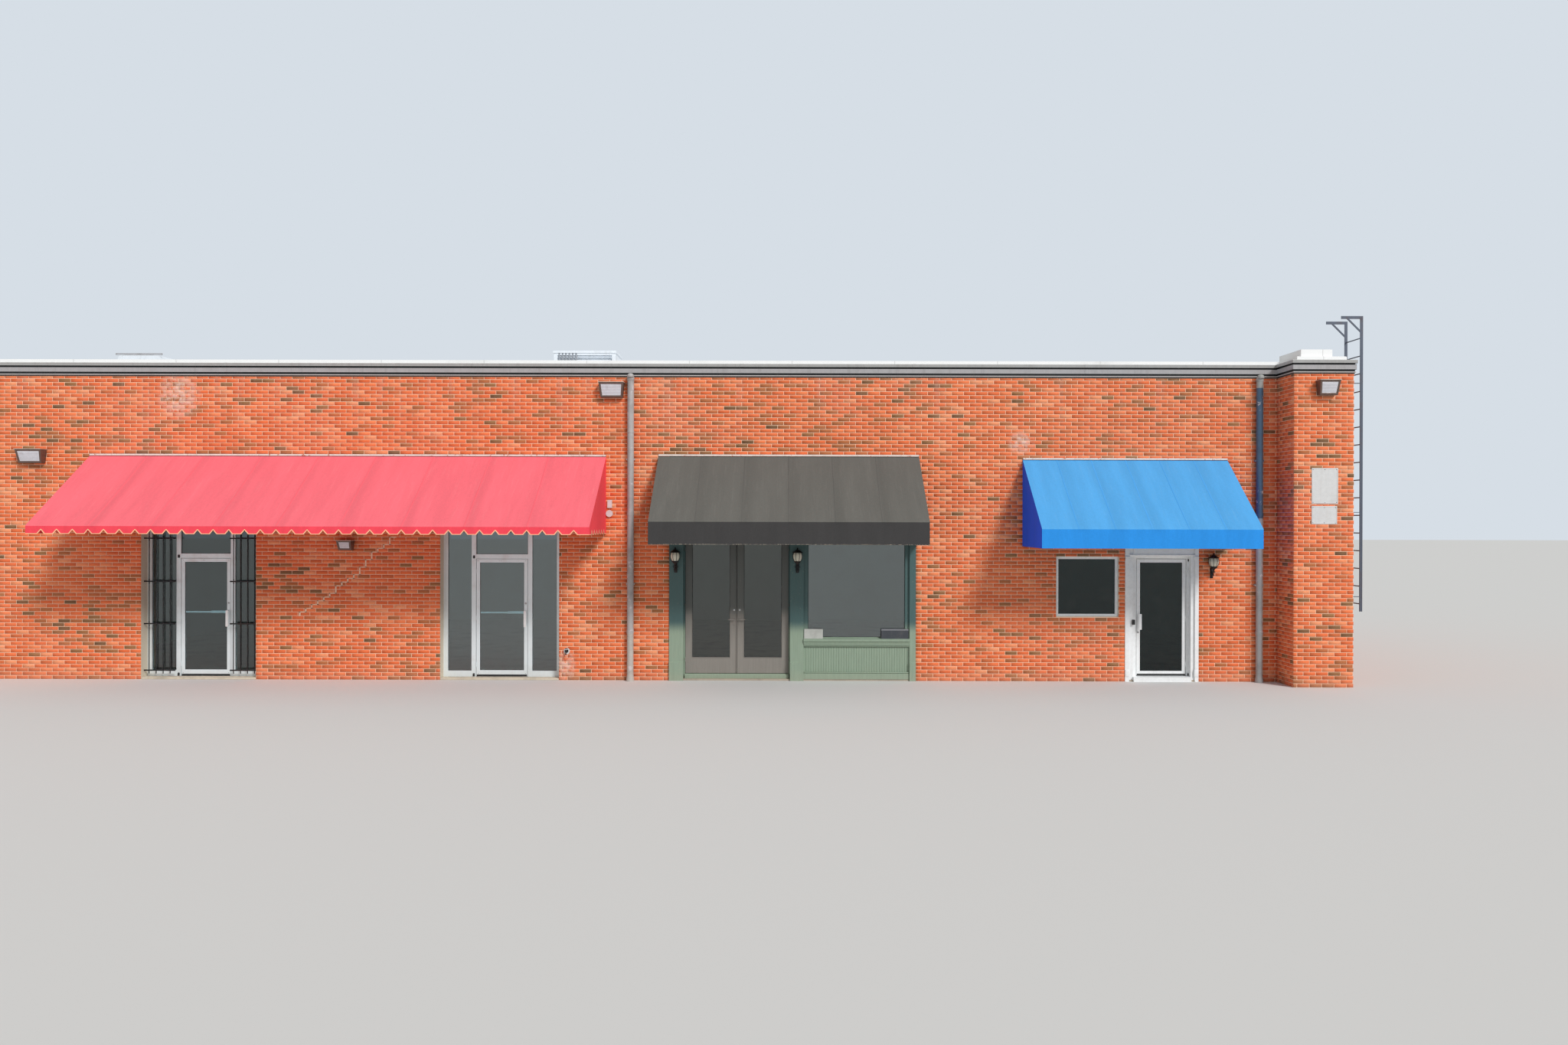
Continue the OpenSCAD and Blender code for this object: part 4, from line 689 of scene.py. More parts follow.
class Bench:
    """The modelling bench: each method does by operator what a hand would do."""

    @staticmethod
    def clear() -> None:
        """Leaves edit mode and deselects everything."""
        if bpy.context.object is not None and bpy.context.object.mode != "OBJECT":
            bpy.ops.object.mode_set(mode="OBJECT")
        bpy.ops.object.select_all(action="DESELECT")

    @staticmethod
    def add(name: str, data: bpy.types.ID) -> Obj:
        """Puts data into the scene as an object."""
        obj = bpy.data.objects.new(name, data)
        bpy.context.scene.collection.objects.link(obj)
        return obj

    @staticmethod
    def hold(obj: Obj) -> Obj:
        """Selects one object alone and makes it active."""
        Bench.clear()
        obj.select_set(True)
        bpy.context.view_layer.objects.active = obj
        return obj

    @staticmethod
    def pick(obj: Obj, test: Callable[[Face], bool]) -> None:
        """Enters edit mode with those faces selected that pass a test."""
        Bench.hold(obj)
        bpy.ops.object.mode_set(mode="EDIT")
        bpy.ops.mesh.select_mode(type="FACE")
        bpy.ops.mesh.select_all(action="DESELECT")
        bpy.ops.object.mode_set(mode="OBJECT")
        for face in obj.data.polygons:
            face.select = test(face)
        bpy.ops.object.mode_set(mode="EDIT")

    @staticmethod
    def inset(obj: Obj, test: Callable[[Face], bool], *steps: tuple[float, float]) -> Obj:
        """Insets the faces that pass a test, once for each width and depth."""
        Bench.pick(obj, test)
        for width, depth in steps:
            bpy.ops.mesh.inset(thickness=width, depth=depth)
        bpy.ops.object.mode_set(mode="OBJECT")
        return obj

    @staticmethod
    def face_out() -> None:
        """Turns the faces of the edited piece outwards and leaves edit mode."""
        bpy.ops.mesh.select_all(action="SELECT")
        bpy.ops.mesh.normals_make_consistent(inside=False)
        bpy.ops.object.mode_set(mode="OBJECT")

    @staticmethod
    def settle(obj: Obj) -> Obj:
        """Applies the object's own place, turn and scale to its mesh."""
        Bench.hold(obj)
        bpy.ops.object.transform_apply(location=True, rotation=True, scale=True)
        return obj

    @staticmethod
    def modify(obj: Obj, kind: str, **settings: object) -> Obj:
        """Adds a modifier and applies it."""
        Bench.hold(obj)
        made = obj.modifiers.new(kind.lower(), kind)
        for name, value in settings.items():
            setattr(made, name, value)
        bpy.ops.object.modifier_apply(modifier=made.name)
        return obj

    @staticmethod
    def bevel(obj: Obj, width: float, segments: int = 2) -> Obj:
        """Rounds the sharp edges; a width of 0 leaves them."""
        if width > 0:
            Bench.modify(obj, "BEVEL", width=width, segments=segments, limit_method="ANGLE")
        return obj

    @staticmethod
    def block(name: str, low: Point, high: Point, edge: float = 0.002, segments: int = 2) -> Obj:
        """Makes a block with rounded edges between two corners."""
        Bench.clear()
        bpy.ops.mesh.primitive_cube_add(size=1, location=[(a + b) / 2 for a, b in zip(low, high)])
        obj = bpy.context.object
        obj.name = name
        obj.scale = [b - a for a, b in zip(low, high)]
        return Bench.bevel(Bench.settle(obj), edge, segments)

    @staticmethod
    def ring(name: str, low: Point, high: Point, width: float, edge: float = 0.0) -> Obj:
        """Makes a picture frame that faces the street, between two corners.

        Args:
            name: The piece's name.
            low: Its lowest corner.
            high: Its highest corner.
            width: How wide its members are.
            edge: Rounding of its edges.

        Returns:
            The frame.
        """
        Bench.clear()
        middle = ((low[0] + high[0]) / 2, low[1], (low[2] + high[2]) / 2)
        bpy.ops.mesh.primitive_plane_add(size=1, location=middle, rotation=(math.pi / 2, 0, 0))
        obj = bpy.context.object
        obj.name = name
        obj.scale = (high[0] - low[0], high[2] - low[2], 1)
        Bench.pick(Bench.settle(obj), lambda face: True)
        bpy.ops.mesh.inset(thickness=width, depth=0)
        bpy.ops.mesh.delete(type="FACE")
        bpy.ops.mesh.select_all(action="SELECT")
        bpy.ops.mesh.extrude_region_move(TRANSFORM_OT_translate={"value": (0, high[1] - low[1], 0)})
        Bench.face_out()
        return Bench.bevel(obj, edge)

    @staticmethod
    def turned(name: str, at: Point, profile: Profile, sides: int = 24, axis: Axis = Axis.UP) -> Obj:
        """Makes a turned shape by extruding and resizing a disc along its axis.

        Args:
            name: The piece's name.
            at: Where its axis starts.
            profile: Radius and height of each step, from its foot.
            sides: Sides of the disc.
            axis: Where its axis points.

        Returns:
            The shape.
        """
        Bench.clear()
        bpy.ops.mesh.primitive_circle_add(vertices=sides, radius=profile[0][0], fill_type="NGON")
        obj = bpy.context.object
        obj.name = name
        bpy.ops.object.mode_set(mode="EDIT")
        bpy.ops.mesh.select_mode(type="FACE")
        bpy.ops.mesh.select_all(action="SELECT")
        base = profile[0][1]
        for (r0, h0), (r1, h1) in zip(profile, profile[1:]):
            bpy.ops.mesh.extrude_region_move(TRANSFORM_OT_translate={"value": (0, 0, h1 - h0)})
            share = r1 / r0
            bpy.ops.transform.resize(value=(share, share, 1), center_override=(0, 0, h1 - base))
        Bench.face_out()
        turns = {Axis.UP: (0, 0, 0), Axis.OUT: (math.pi / 2, 0, 0), Axis.SIDE: (0, math.pi / 2, 0)}
        shift = {Axis.UP: (0, 0, base), Axis.OUT: (0, -base, 0), Axis.SIDE: (base, 0, 0)}
        obj.rotation_euler = turns[axis]
        obj.location = [a + b for a, b in zip(at, shift[axis])]
        return Bench.settle(obj)

    @staticmethod
    def join(name: str, parts: Sequence[Obj]) -> Obj:
        """Joins several shapes into one piece."""
        Bench.hold(parts[0])
        for part in parts:
            part.select_set(True)
        if len(parts) > 1:
            bpy.ops.object.join()
        obj = bpy.context.object
        obj.name = name
        return obj

    @staticmethod
    def mesh(name: str, corners: np.ndarray, loops: np.ndarray, starts: np.ndarray | None = None) -> Obj:
        """Makes a piece from arrays.

        Args:
            name: The piece's name.
            corners: Its points.
            loops: The corners of its faces, one face after another.
            starts: Where each face starts in the loops; without it, every face has four sides.

        Returns:
            The piece.
        """
        starts = np.arange(0, loops.size, 4) if starts is None else starts
        data = bpy.data.meshes.new(name)
        data.vertices.add(len(corners))
        data.vertices.foreach_set("co", corners.astype(np.float32).ravel())
        data.loops.add(loops.size)
        data.loops.foreach_set("vertex_index", loops.astype(np.int32).ravel())
        data.polygons.add(starts.size)
        data.polygons.foreach_set("loop_start", starts.astype(np.int32).ravel())
        data.update(calc_edges=True)
        return Bench.add(name, data)

    @staticmethod
    def carry(obj: Obj, name: str, domain: str, values: np.ndarray) -> None:
        """Stores a number with every point or face of a piece."""
        obj.data.attributes.new(name, "FLOAT", domain).data.foreach_set("value", values.astype(np.float32))

    @staticmethod
    def lay(obj: Obj, uv: np.ndarray) -> None:
        """Gives a piece of cloth its map, in metres."""
        obj.data.uv_layers.new(name="cloth").data.foreach_set("uv", uv.astype(np.float32).ravel())

    @staticmethod
    def repeat(name: str, shape: Obj, places: Iterable[Matrix | Point]) -> Obj:
        """Copies one modelled shape to many places as one joined mesh, and removes the shape.

        Args:
            name: The new piece's name.
            shape: The shape, modelled about the origin.
            places: A matrix or a point for each copy.

        Returns:
            The joined piece.
        """
        turns = [np.array(p if isinstance(p, Matrix) else Matrix.Translation(p), float) for p in places]
        data = shape.data
        corners = np.array([v.co for v in data.vertices], float)
        loops = np.array([loop.vertex_index for loop in data.loops], int)
        starts = np.array([p.loop_start for p in data.polygons], int)
        every = np.concatenate([corners @ m[:3, :3].T + m[:3, 3] for m in turns])
        step = np.arange(len(turns))[:, None]
        obj = Bench.mesh(name, every, loops[None] + len(corners) * step, starts[None] + len(loops) * step)
        bpy.data.objects.remove(shape)
        return obj


def deliver(obj: Obj, finish: Finish, body: str = "building", smooth: float | None = 35.0) -> Obj:
    """Gives a piece its finish and the body it rides on, and reports it.

    Args:
        obj: The piece.
        finish: Its finish.
        body: The CAD body it moves with.
        smooth: Edge angle for smooth shading, or None to leave it flat.

    Returns:
        The piece.
    """
    if not obj.data.materials:
        obj.data.materials.append(finish.material())
    if smooth is not None:
        Bench.hold(obj)
        bpy.ops.object.shade_smooth_by_angle(angle=math.radians(smooth))
    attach(obj, body)
    LOG.info("%s: %d faces, rides on %s", obj.name, len(obj.data.polygons), body)
    return obj


@dataclass
class BrickField:
    """One flat face of brickwork in running bond, laid round its openings."""

    name: str
    corner: Point
    along: Point
    outward: Point
    start: float
    end: float
    shift: float = 0.0
    holes: Sequence[Rect] = ()
    high: float = 5.377
    pitch: float = 0.2127
    joint: float = 0.0095
    proud: float = 0.005
    slope: float = 0.0014
    least_w: float = 0.014
    least_h: float = 0.012

    def cut(self, brick: Rect) -> list[Rect]:
        """Cuts the openings out of one brick.

        Args:
            brick: Its edges along the wall and in height.

        Returns:
            What is left of it.
        """
        left = [brick]
        for h0, h1, k0, k1 in self.holes:
            kept: list[Rect] = []
            for a0, a1, z0, z1 in left:
                if a1 <= h0 or a0 >= h1 or z1 <= k0 or z0 >= k1:
                    kept.append((a0, a1, z0, z1))
                    continue
                middle = (max(a0, h0), min(a1, h1))
                kept += [(a0, min(a1, h0), z0, z1), (max(a0, h1), a1, z0, z1)]
                kept += [(*middle, z0, min(z1, k0)), (*middle, max(z0, k1), z1)]
            left = [r for r in kept if r[1] - r[0] > self.least_w and r[3] - r[2] > self.least_h]
        return left

    def bricks(self) -> list[Rect]:
        """Lists every whole and cut brick of the face."""
        found: list[Rect] = []
        half = self.joint / 2
        for k in range(int(math.ceil(self.high / COURSE))):
            z0 = max(0.0, k * COURSE + half)
            z1 = min(self.high, (k + 1) * COURSE - half)
            offset = self.shift + (k % 2) * self.pitch / 2
            first = math.floor((self.start - offset) / self.pitch)
            last = math.ceil((self.end - offset) / self.pitch)
            for m in range(first, last):
                a0 = max(self.start, m * self.pitch + offset + half)
                a1 = min(self.end, (m + 1) * self.pitch + offset - half)
                if a1 - a0 > self.least_w and z1 - z0 > self.least_h:
                    found.extend(self.cut((a0, a1, z0, z1)))
        return found

    def build(self, seed: int) -> Obj:
        """Lays the bricks as one joined mesh, each with a tone of its own.

        Args:
            seed: Makes the tones the same each run.

        Returns:
            The piece.
        """
        rects = np.array(self.bricks(), float)
        count = len(rects)
        chance = np.random.default_rng(seed)
        lift = self.proud + chance.uniform(-0.0008, 0.0008, count)
        a_side = np.array([0, 1, 1, 0, 0, 1, 1, 0])
        z_side = np.array([0, 0, 1, 1, 0, 0, 1, 1])
        face = np.array([0, 0, 0, 0, 1, 1, 1, 1])
        a = rects[:, [0, 1]][:, a_side] + (self.slope * face * (1 - 2 * a_side))[None, :]
        z = rects[:, [2, 3]][:, z_side] + (self.slope * face * (1 - 2 * z_side))[None, :]
        out = lift[:, None] * face[None, :]
        corner, along, outward = (np.array(v, float) for v in (self.corner, self.along, self.outward))
        points = corner + a[..., None] * along + out[..., None] * outward
        points[..., 2] += z
        quads = np.array([[4, 5, 6, 7], [0, 1, 5, 4], [1, 2, 6, 5], [2, 3, 7, 6], [3, 0, 4, 7]])
        if np.dot(np.cross(along, (0, 0, 1)), outward) < 0:
            quads = quads[:, ::-1]
        obj = Bench.mesh(self.name, points.reshape(-1, 3), quads[None] + 8 * np.arange(count)[:, None, None])
        x, h = rects[:, 0], rects[:, 2]
        waves = np.sin(x * 1.1 + 2.0) + np.sin(h * 2.3 + x * 0.45)
        tone = chance.uniform(0, 1, count) + 0.05 * waves
        drift = np.sin(x * 0.83 + 0.7) * np.sin(h * 1.9 + x * 0.31)
        grouped = np.clip(drift + 0.35 * np.sin(x * 2.7 - h * 3.1) - 0.25, 0, 1)
        dark = chance.uniform(0, 1, count) < 0.028 + 0.20 * grouped
        tone = np.where(dark, chance.uniform(0, 0.09, count), np.clip(tone, 0.08, 1))
        Bench.carry(obj, "tone", "POINT", np.repeat(tone, 8))
        return obj


class Brickwork:
    """All the brick faces of the building, and the patched crack between the two metal shopfronts."""

    holes: tuple[Rect, ...] = (
        (-9.06, -7.02, 0.0, HEAD_Z), (-3.75, -1.64, 0.0, HEAD_Z), (0.315, 4.69, 0.0, HEAD_Z),
        (7.18, 8.288, 1.15, 2.217), (8.40, 9.704, 0.0, 2.368),
    )
    edge: float = 0.005
    crack_foot: tuple[float, float] = (-6.24, 1.134)
    crack_top: float = 2.50
    crack_step: float = 0.10635

    def fields(self) -> list[BrickField]:
        """Lists the faces."""
        right, left, out, back = (1, 0, 0), (-1, 0, 0), (0, -1, 0), (0, 1, 0)
        first, last = -WALL_END - self.edge, WALL_END + self.edge
        faces = (
            ("front", (0, FRONT, 0), right, out, first, PIER_LEFT, 0.0, self.holes),
            ("pier_front", (0, PIER_FRONT, 0), right, out, PIER_LEFT - self.edge, last, 0.09),
            ("pier_return", (PIER_LEFT, 0, 0), back, left, PIER_FRONT, FRONT - self.edge, 0.05),
            ("side_right", (WALL_END, 0, 0), back, right, PIER_FRONT, REAR, 0.05),
            ("rear", (0, REAR, 0), right, back, first, last, 0.03),
            ("side_left", (-WALL_END, 0, 0), back, left, FRONT, REAR, 0.11),
        )
        return [BrickField(f"bricks_{name}", *rest) for name, *rest in faces]

    def crack(self) -> Obj:
        """Makes the stepped line of pale repair mortar that climbs between the shopfronts."""
        chance = random.Random(11)
        x, z = self.crack_foot
        rects: list[Rect] = []
        while z < self.crack_top:
            up = 2 if chance.random() < 0.45 else 1
            rects.append((x - 0.013, x + 0.013, z - 0.008, z + up * COURSE + 0.008))
            z += up * COURSE
            rects.append((x - 0.013, x + self.crack_step + 0.013, z - 0.010, z + 0.010))
            x += self.crack_step
        parts = [
            Bench.block("crack", (a0, FRONT - 0.0062, z0), (a1, FRONT - 0.001, z1), 0.002, 1)
            for a0, a1, z0, z1 in rects
        ]
        return Bench.join("patched_crack", parts)

    def build(self) -> None:
        """Builds the faces and the crack."""
        for index, face in enumerate(self.fields()):
            deliver(face.build(40 + index), Palette.brick, smooth=None)
        deliver(self.crack(), Palette.patch_mortar, smooth=None)


def grid_of(x: np.ndarray, y: np.ndarray, z: np.ndarray) -> np.ndarray:
    """Stacks coordinates of matching shapes into one grid of points."""
    return np.stack(np.broadcast_arrays(x, y, z), axis=-1)


def cells_of(rows: int, columns: int, base: int) -> np.ndarray:
    """Numbers the corners of a grid's faces, starting at a base."""
    ids = base + np.arange(rows * columns).reshape(rows, columns)
    return np.stack([ids[:-1, :-1], ids[1:, :-1], ids[1:, 1:], ids[:-1, 1:]], axis=-1)


@dataclass
class Awning:
    """One awning: a single sheet that runs down the slope, over the fold and round both ends."""

    hue: str
    finish: Canvas
    x0: float
    x1: float
    out: float
    top: float
    fold: float
    hem: float
    rafters: int
    panels: int
    sag: float
    ripple: float
    seed: int
    notches: bool = False
    pinches: tuple[float, ...] = ()
    notch_pitch: float = 0.256
    notch_half: float = 0.055
    notch_h: float = 0.066
    band: float = 0.012
    round_r: float = 0.022
    rows_down: int = 6
    front_step: float = 0.08
    end_step: float = 0.07
    taut: float = 0.03
    wrinkles: int = 7
    seam_shift: float = 0.06
    seam_reach: float = 0.10

    @property
    def width(self) -> float:
        """Length of the front hem."""
        return self.x1 - self.x0

    def cut_at(self, length: float, step: float) -> tuple[np.ndarray, ...]:
        """Lists the stations along a hem, with the hem's rise and the sideways shift of its binding.

        Args:
            length: Length of the hem.
            step: Widest step where there are no notches.

        Returns:
            Stations, rise at each, and shift of the binding's upper edge at each.
        """
        if not self.notches:
            places = np.linspace(0, length, int(math.ceil(length / step)) + 1)
            return places, np.zeros(len(places)), np.zeros(len(places))
        count = max(2, round(length / self.notch_pitch))
        pitch = length / count
        half, rise = self.notch_half, self.notch_h
        flat = pitch / 4 + half / 2
        notch = (
            (-pitch / 2, 0, 0), (-flat, 0, 0), (-half, 0, -0.012), (-half * 0.45, rise * 0.55, -0.006),
            (0, rise, 0), (half * 0.45, rise * 0.55, 0.006), (half, 0, 0.012), (flat, 0, 0),
        )
        rows = [(i * pitch + at, up, slide) for i in range(1, count) for at, up, slide in notch]
        every = np.array([(0, 0, 0), *rows, (length - pitch / 2, 0, 0), (length, 0, 0)], float)
        return every[:, 0], every[:, 1], every[:, 2]

    def slope_z(self, p: np.ndarray) -> np.ndarray:
        """Height of the taut slope at a distance out of the wall."""
        return self.top + (self.fold - self.top) * p / self.out

    def surface(self, x: np.ndarray, p: np.ndarray) -> np.ndarray:
        """Height of the hanging slope: it sags between rafters and dips in soft wrinkles.

        Args:
            x: Distance from the awning's left end.
            p: Distance out of the wall.

        Returns:
            The heights.
        """
        bay = self.width / (self.rafters - 1)
        down = np.clip(p / self.out, 0, 1)
        between = np.sin(np.pi * (x % bay) / bay) ** 2
        belly = self.sag * between * np.sin(np.pi * down) ** 0.9
        seam = 0.003 * np.abs(np.sin(np.pi * x / (self.width / self.panels))) * np.sin(np.pi * down)
        chance = random.Random(self.seed)
        wrinkle = np.zeros(np.broadcast(x, p).shape)
        for _ in range(self.wrinkles):
            at, lean = chance.uniform(0, self.width), chance.uniform(-0.5, 0.5)
            wide, deep = chance.uniform(0.03, 0.1), chance.uniform(0.0012, 0.0035)
            offset = (x - at - lean * (down - 0.5)) / wide
            wrinkle = wrinkle + deep * np.exp(-offset * offset) * np.sin(np.pi * down)
        return self.slope_z(p) - belly - seam - wrinkle

    def dip(self, x: np.ndarray, p: np.ndarray) -> np.ndarray:
        """How far the slope hangs off the taut one, by rows down and columns across."""
        hung = self.surface(x[:, None], p[None]) - self.slope_z(p)[None]
        return np.where(p < self.out - self.taut, hung, 0.0).T

    def hang(self, x: np.ndarray, share: np.ndarray) -> np.ndarray:
        """How far the valance swings out of its plane, from none at the fold to most at the hem."""
        wave = np.sin(x * 6.1 + self.seed) * 0.6 + np.sin(x * 2.3 + 1.7 * self.seed) * 0.4
        pinch = np.zeros(np.broadcast(x, share).shape)
        for at in self.pinches:
            pinch = pinch + np.exp(-(((x - at) / 0.05) ** 2))
        inward = self.ripple * 0.9 * pinch * np.sin(np.pi * np.clip(share, 0, 1))
        return self.ripple * wave * np.clip(share, 0, 1) ** 1.4 - inward

    def profile(self) -> tuple[np.ndarray, np.ndarray]:
        """The stations down the slope and round the fold, as distance out and height of the taut cloth."""
        p_hem = self.cut_at(self.out, self.end_step)[0]
        angle = math.atan2(self.top - self.fold, self.out)
        reach = self.round_r * math.tan((math.pi / 2 - angle) / 2)
        straight = p_hem[p_hem < self.out - reach * math.cos(angle) - 0.01]
        arc = np.linspace(math.pi / 2 - angle, 0, 5)
        p = np.concatenate([straight, self.out - self.round_r + self.round_r * np.sin(math.pi / 2 - arc)])
        z = np.concatenate([self.slope_z(straight), self.fold - reach + self.round_r * np.sin(arc)])
        return p, z

    def down(self, z_top: np.ndarray, rise: np.ndarray) -> np.ndarray:
        """Heights of the rows from an edge down to the hem, the last row being the binding.

        Args:
            z_top: Height of the edge at each station.
            rise: Rise of the hem at each station.

        Returns:
            An array of rows by stations.
        """
        foot = self.hem + rise
        seam = np.minimum(foot + self.band * np.where(rise > 0, 1.6, 1.0), z_top - 0.004)
        shares = np.linspace(0, 1, self.rows_down)[:, None]
        return np.concatenate([z_top[None] + (seam - z_top)[None] * shares, foot[None]])

    def grids(self) -> list[np.ndarray]:
        """Works out the points of the slope, the valance and both ends.

        Returns:
            The four grids, each of rows by columns by 3.
        """
        x, rise, shift = self.cut_at(self.width, self.front_step)
        p, z = self.profile()
        slope = grid_of(self.x0 + x[None], FRONT - p[:, None], z[:, None] + self.dip(x, p))
        edge = np.full(len(x), z[-1])
        rows = self.down(edge, rise)
        share = (edge[None] - rows) / (edge[None] - self.hem)
        swing = self.hang(x[None], share) * np.sin(np.pi * np.clip(x / self.width, 0, 1))[None] ** 0.2
        valance = grid_of(self.x0 + x[None], FRONT - self.out + swing, rows)
        valance[-2, :, 0] += shift
        places, rise, shift = self.cut_at(self.out, self.end_step)
        lift, slide = np.interp(p, places, rise), np.interp(p, places, shift)
        found = [slope, valance]
        for column, sign in ((0, 1), (-1, -1)):
            top_z = slope[:, column, 2]
            rows = self.down(top_z, lift)
            share = (top_z[None] - rows) / np.maximum(top_z[None] - self.hem, 0.01)
            swell = np.sin(np.pi * np.clip(p / self.out, 0, 1))[None] * np.sin(np.pi * np.clip(share, 0, 1))
            end = grid_of(slope[0, column, 0] + sign * 0.010 * swell, FRONT - p[None], rows)
            end[-2, :, 1] -= slide
            end[:, -1] = valance[:, column]
            found.append(end)
        return found

    def sheet(self) -> Obj:
        """Makes the one continuous sheet, with its map in metres and its marks for sun, ends and hem."""
        grids = self.grids()
        corners = np.concatenate([g.reshape(-1, 3) for g in grids])
        p_len = np.concatenate([[0], np.cumsum(np.linalg.norm(np.diff(grids[0][:, 0], axis=0), axis=1))])
        quads, maps, marks = [], [], []
        base = 0
        for index, grid in enumerate(grids):
            rows, columns = grid.shape[:2]
            cells = cells_of(rows, columns, base)
            if index == 2:
                cells = cells[..., ::-1]
            if index > 1:
                u, v = self.x0 - 3.0 * (index - 1) + grid[..., 1], self.top - grid[..., 2]
            else:
                u = grid[..., 0]
                v = p_len[-1] + (grid[0:1, :, 2] - grid[..., 2]) if index else p_len[:, None]
            uv = np.stack(np.broadcast_arrays(u, v), axis=-1).reshape(-1, 2)
            quads.append(cells.reshape(-1, 4))
            maps.append(uv[(cells - base).reshape(-1)])
            last = np.repeat(np.arange(rows - 1), columns - 1) == rows - 2
            whole = np.ones(len(last))
            marks.append([whole * (index == 0), whole * (index > 1), last * whole * (index > 0)])
            base += rows * columns
        obj = Bench.mesh(f"{self.hue}_awning_cloth", corners, np.concatenate(quads))
        Bench.lay(obj, np.concatenate(maps))
        for name, values in zip(("sunlit", "end_panel", "hem_row"), np.concatenate(marks, axis=1)):
            Bench.carry(obj, name, "FACE", values)
        # A soft band beside each seam on the slope, where the canvas paints shade.
        reach = corners[:, 0] - self.x0
        panel = self.width / self.panels
        nearest = np.abs(((reach - self.seam_shift) / panel + 0.5) % 1.0 - 0.5) * panel
        inner = (reach > panel / 2) & (reach < self.width - panel / 2)
        band = np.exp(-((nearest / self.seam_reach) ** 2)) * inner * (corners[:, 2] > self.fold - 0.02)
        Bench.carry(obj, "seam_shade", "POINT", band)
        return obj

    def binding(self, obj: Obj) -> Obj:
        """Copies the sheet's last row as the hem's binding, folded over both faces."""
        copy = Bench.add(f"{obj.name}_binding", obj.data.copy())
        marks = [spot.value for spot in copy.data.attributes["hem_row"].data]
        Bench.pick(copy, lambda face: marks[face.index] < 0.5)
        bpy.ops.mesh.delete(type="FACE")
        bpy.ops.object.mode_set(mode="OBJECT")
        return Bench.modify(copy, "SOLIDIFY", thickness=0.0045, offset=0.0)

    def seam_tapes(self) -> Obj:
        """Makes the lapped seams between the canvas widths, a little proud of the slope."""
        p, z = self.profile()
        normal = Vector((0, -(self.top - self.fold), self.out)).normalized()
        lift = np.array([0.0, 0.0016, 0.0016, 0.0])
        strips, quads = [], []
        for i in range(1, self.panels):
            x = np.array([-0.011, -0.008, 0.008, 0.011]) + self.width * i / self.panels
            y = FRONT - p[:, None] + normal.y * lift[None]
            strips.append(grid_of(self.x0 + x[None], y, z[:, None] + self.dip(x, p) + normal.z * lift[None]))
            quads.append(cells_of(len(p), 4, len(quads) * len(p) * 4).reshape(-1, 4))
        corners = np.concatenate(strips).reshape(-1, 3)
        loops = np.concatenate(quads)
        obj = Bench.mesh(f"{self.hue}_awning_cloth_seams", corners, loops)
        Bench.lay(obj, corners[loops.ravel()][:, [0, 1]])
        # The tapes take three quarters of the slope's painted sunlight.
        Bench.carry(obj, "sunlit", "FACE", np.full(len(loops), 0.75))
        return obj

    def build(self) -> None:
        obj = self.sheet()
        Bench.modify(obj, "WELD", merge_threshold=0.0005)
        hems = [self.binding(obj)] if self.notches else []
        Bench.modify(obj, "SOLIDIFY", thickness=0.0016, offset=-1.0)
        deliver(obj, self.finish, smooth=50.0)
        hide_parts(f"{self.hue}_awning")
        with_pieces = [deliver(self.seam_tapes(), self.finish, smooth=50.0)]
        with_pieces += [deliver(hem, Palette.binding, smooth=40.0) for hem in hems]


class Awnings:
    """The three awnings."""

    every: tuple[Awning, ...] = (
        Awning(
            "red", Palette.red, -9.97, -0.81, 1.68, 3.97, 2.74, 2.60, 6, 9, 0.030, 0.010, 3,
            notches=True, pinches=(1.70, 3.10, 4.63),
        ),
        Awning("black", Palette.black, 0.12, 4.74, 1.5, 3.98, 2.83, 2.444, 4, 6, 0.018, 0.003, 5),
        Awning("blue", Palette.blue, 6.58, 10.21, 1.5, 3.93, 2.72, 2.396, 3, 6, 0.014, 0.003, 8),
    )

    def build(self) -> None:
        """Builds each awning."""
        for awning in self.every:
            awning.build()


def tube(name: str, points: Sequence[Point], radius: float, sides: int = 2) -> Obj:
    """Bends a round bar along a line of points: a curve turned into a mesh.

    Args:
        name: The piece's name.
        points: The bar's centre line.
        radius: Its radius.
        sides: How finely its section is rounded.

    Returns:
        The bar.
    """
    line = bpy.data.curves.new(name, "CURVE")
    line.dimensions = "3D"
    line.bevel_depth = radius
    line.bevel_resolution = sides
    line.use_fill_caps = True
    spline = line.splines.new("POLY")
    spline.points.add(len(points) - 1)
    for spot, place in zip(spline.points, points):
        spot.co = (*place, 1.0)
    Bench.hold(Bench.add(name, line))
    bpy.ops.object.convert(target="MESH")
    obj = bpy.context.object
    obj.name = name
    return obj


def volute(side: float, down: float, radius: float, turns: float = 1.4, steps: int = 22) -> list[Point]:
    """Points of a scroll that winds inwards in the plane of the wall.

    Args:
        side: Sideways place of the scroll's middle; its sign is the way it winds.
        down: Height of its middle.
        radius: Its largest radius.
        turns: How often it winds.
        steps: How many points.

    Returns:
        The points, about the origin in Y.
    """
    sign = 1 if side >= 0 else -1
    found = []
    for i in range(steps):
        share = i / (steps - 1)
        angle = math.pi / 2 + share * turns * 2 * math.pi
        r = radius * (1 - 0.78 * share)
        found.append((side + sign * r * math.cos(angle), 0.0, down + r * math.sin(angle)))
    return found


@dataclass(frozen=True)
class LampPlace:
    """Where one wall lamp sits and how large it is."""

    x: float
    face: float
    z: float
    w: float
    h: float


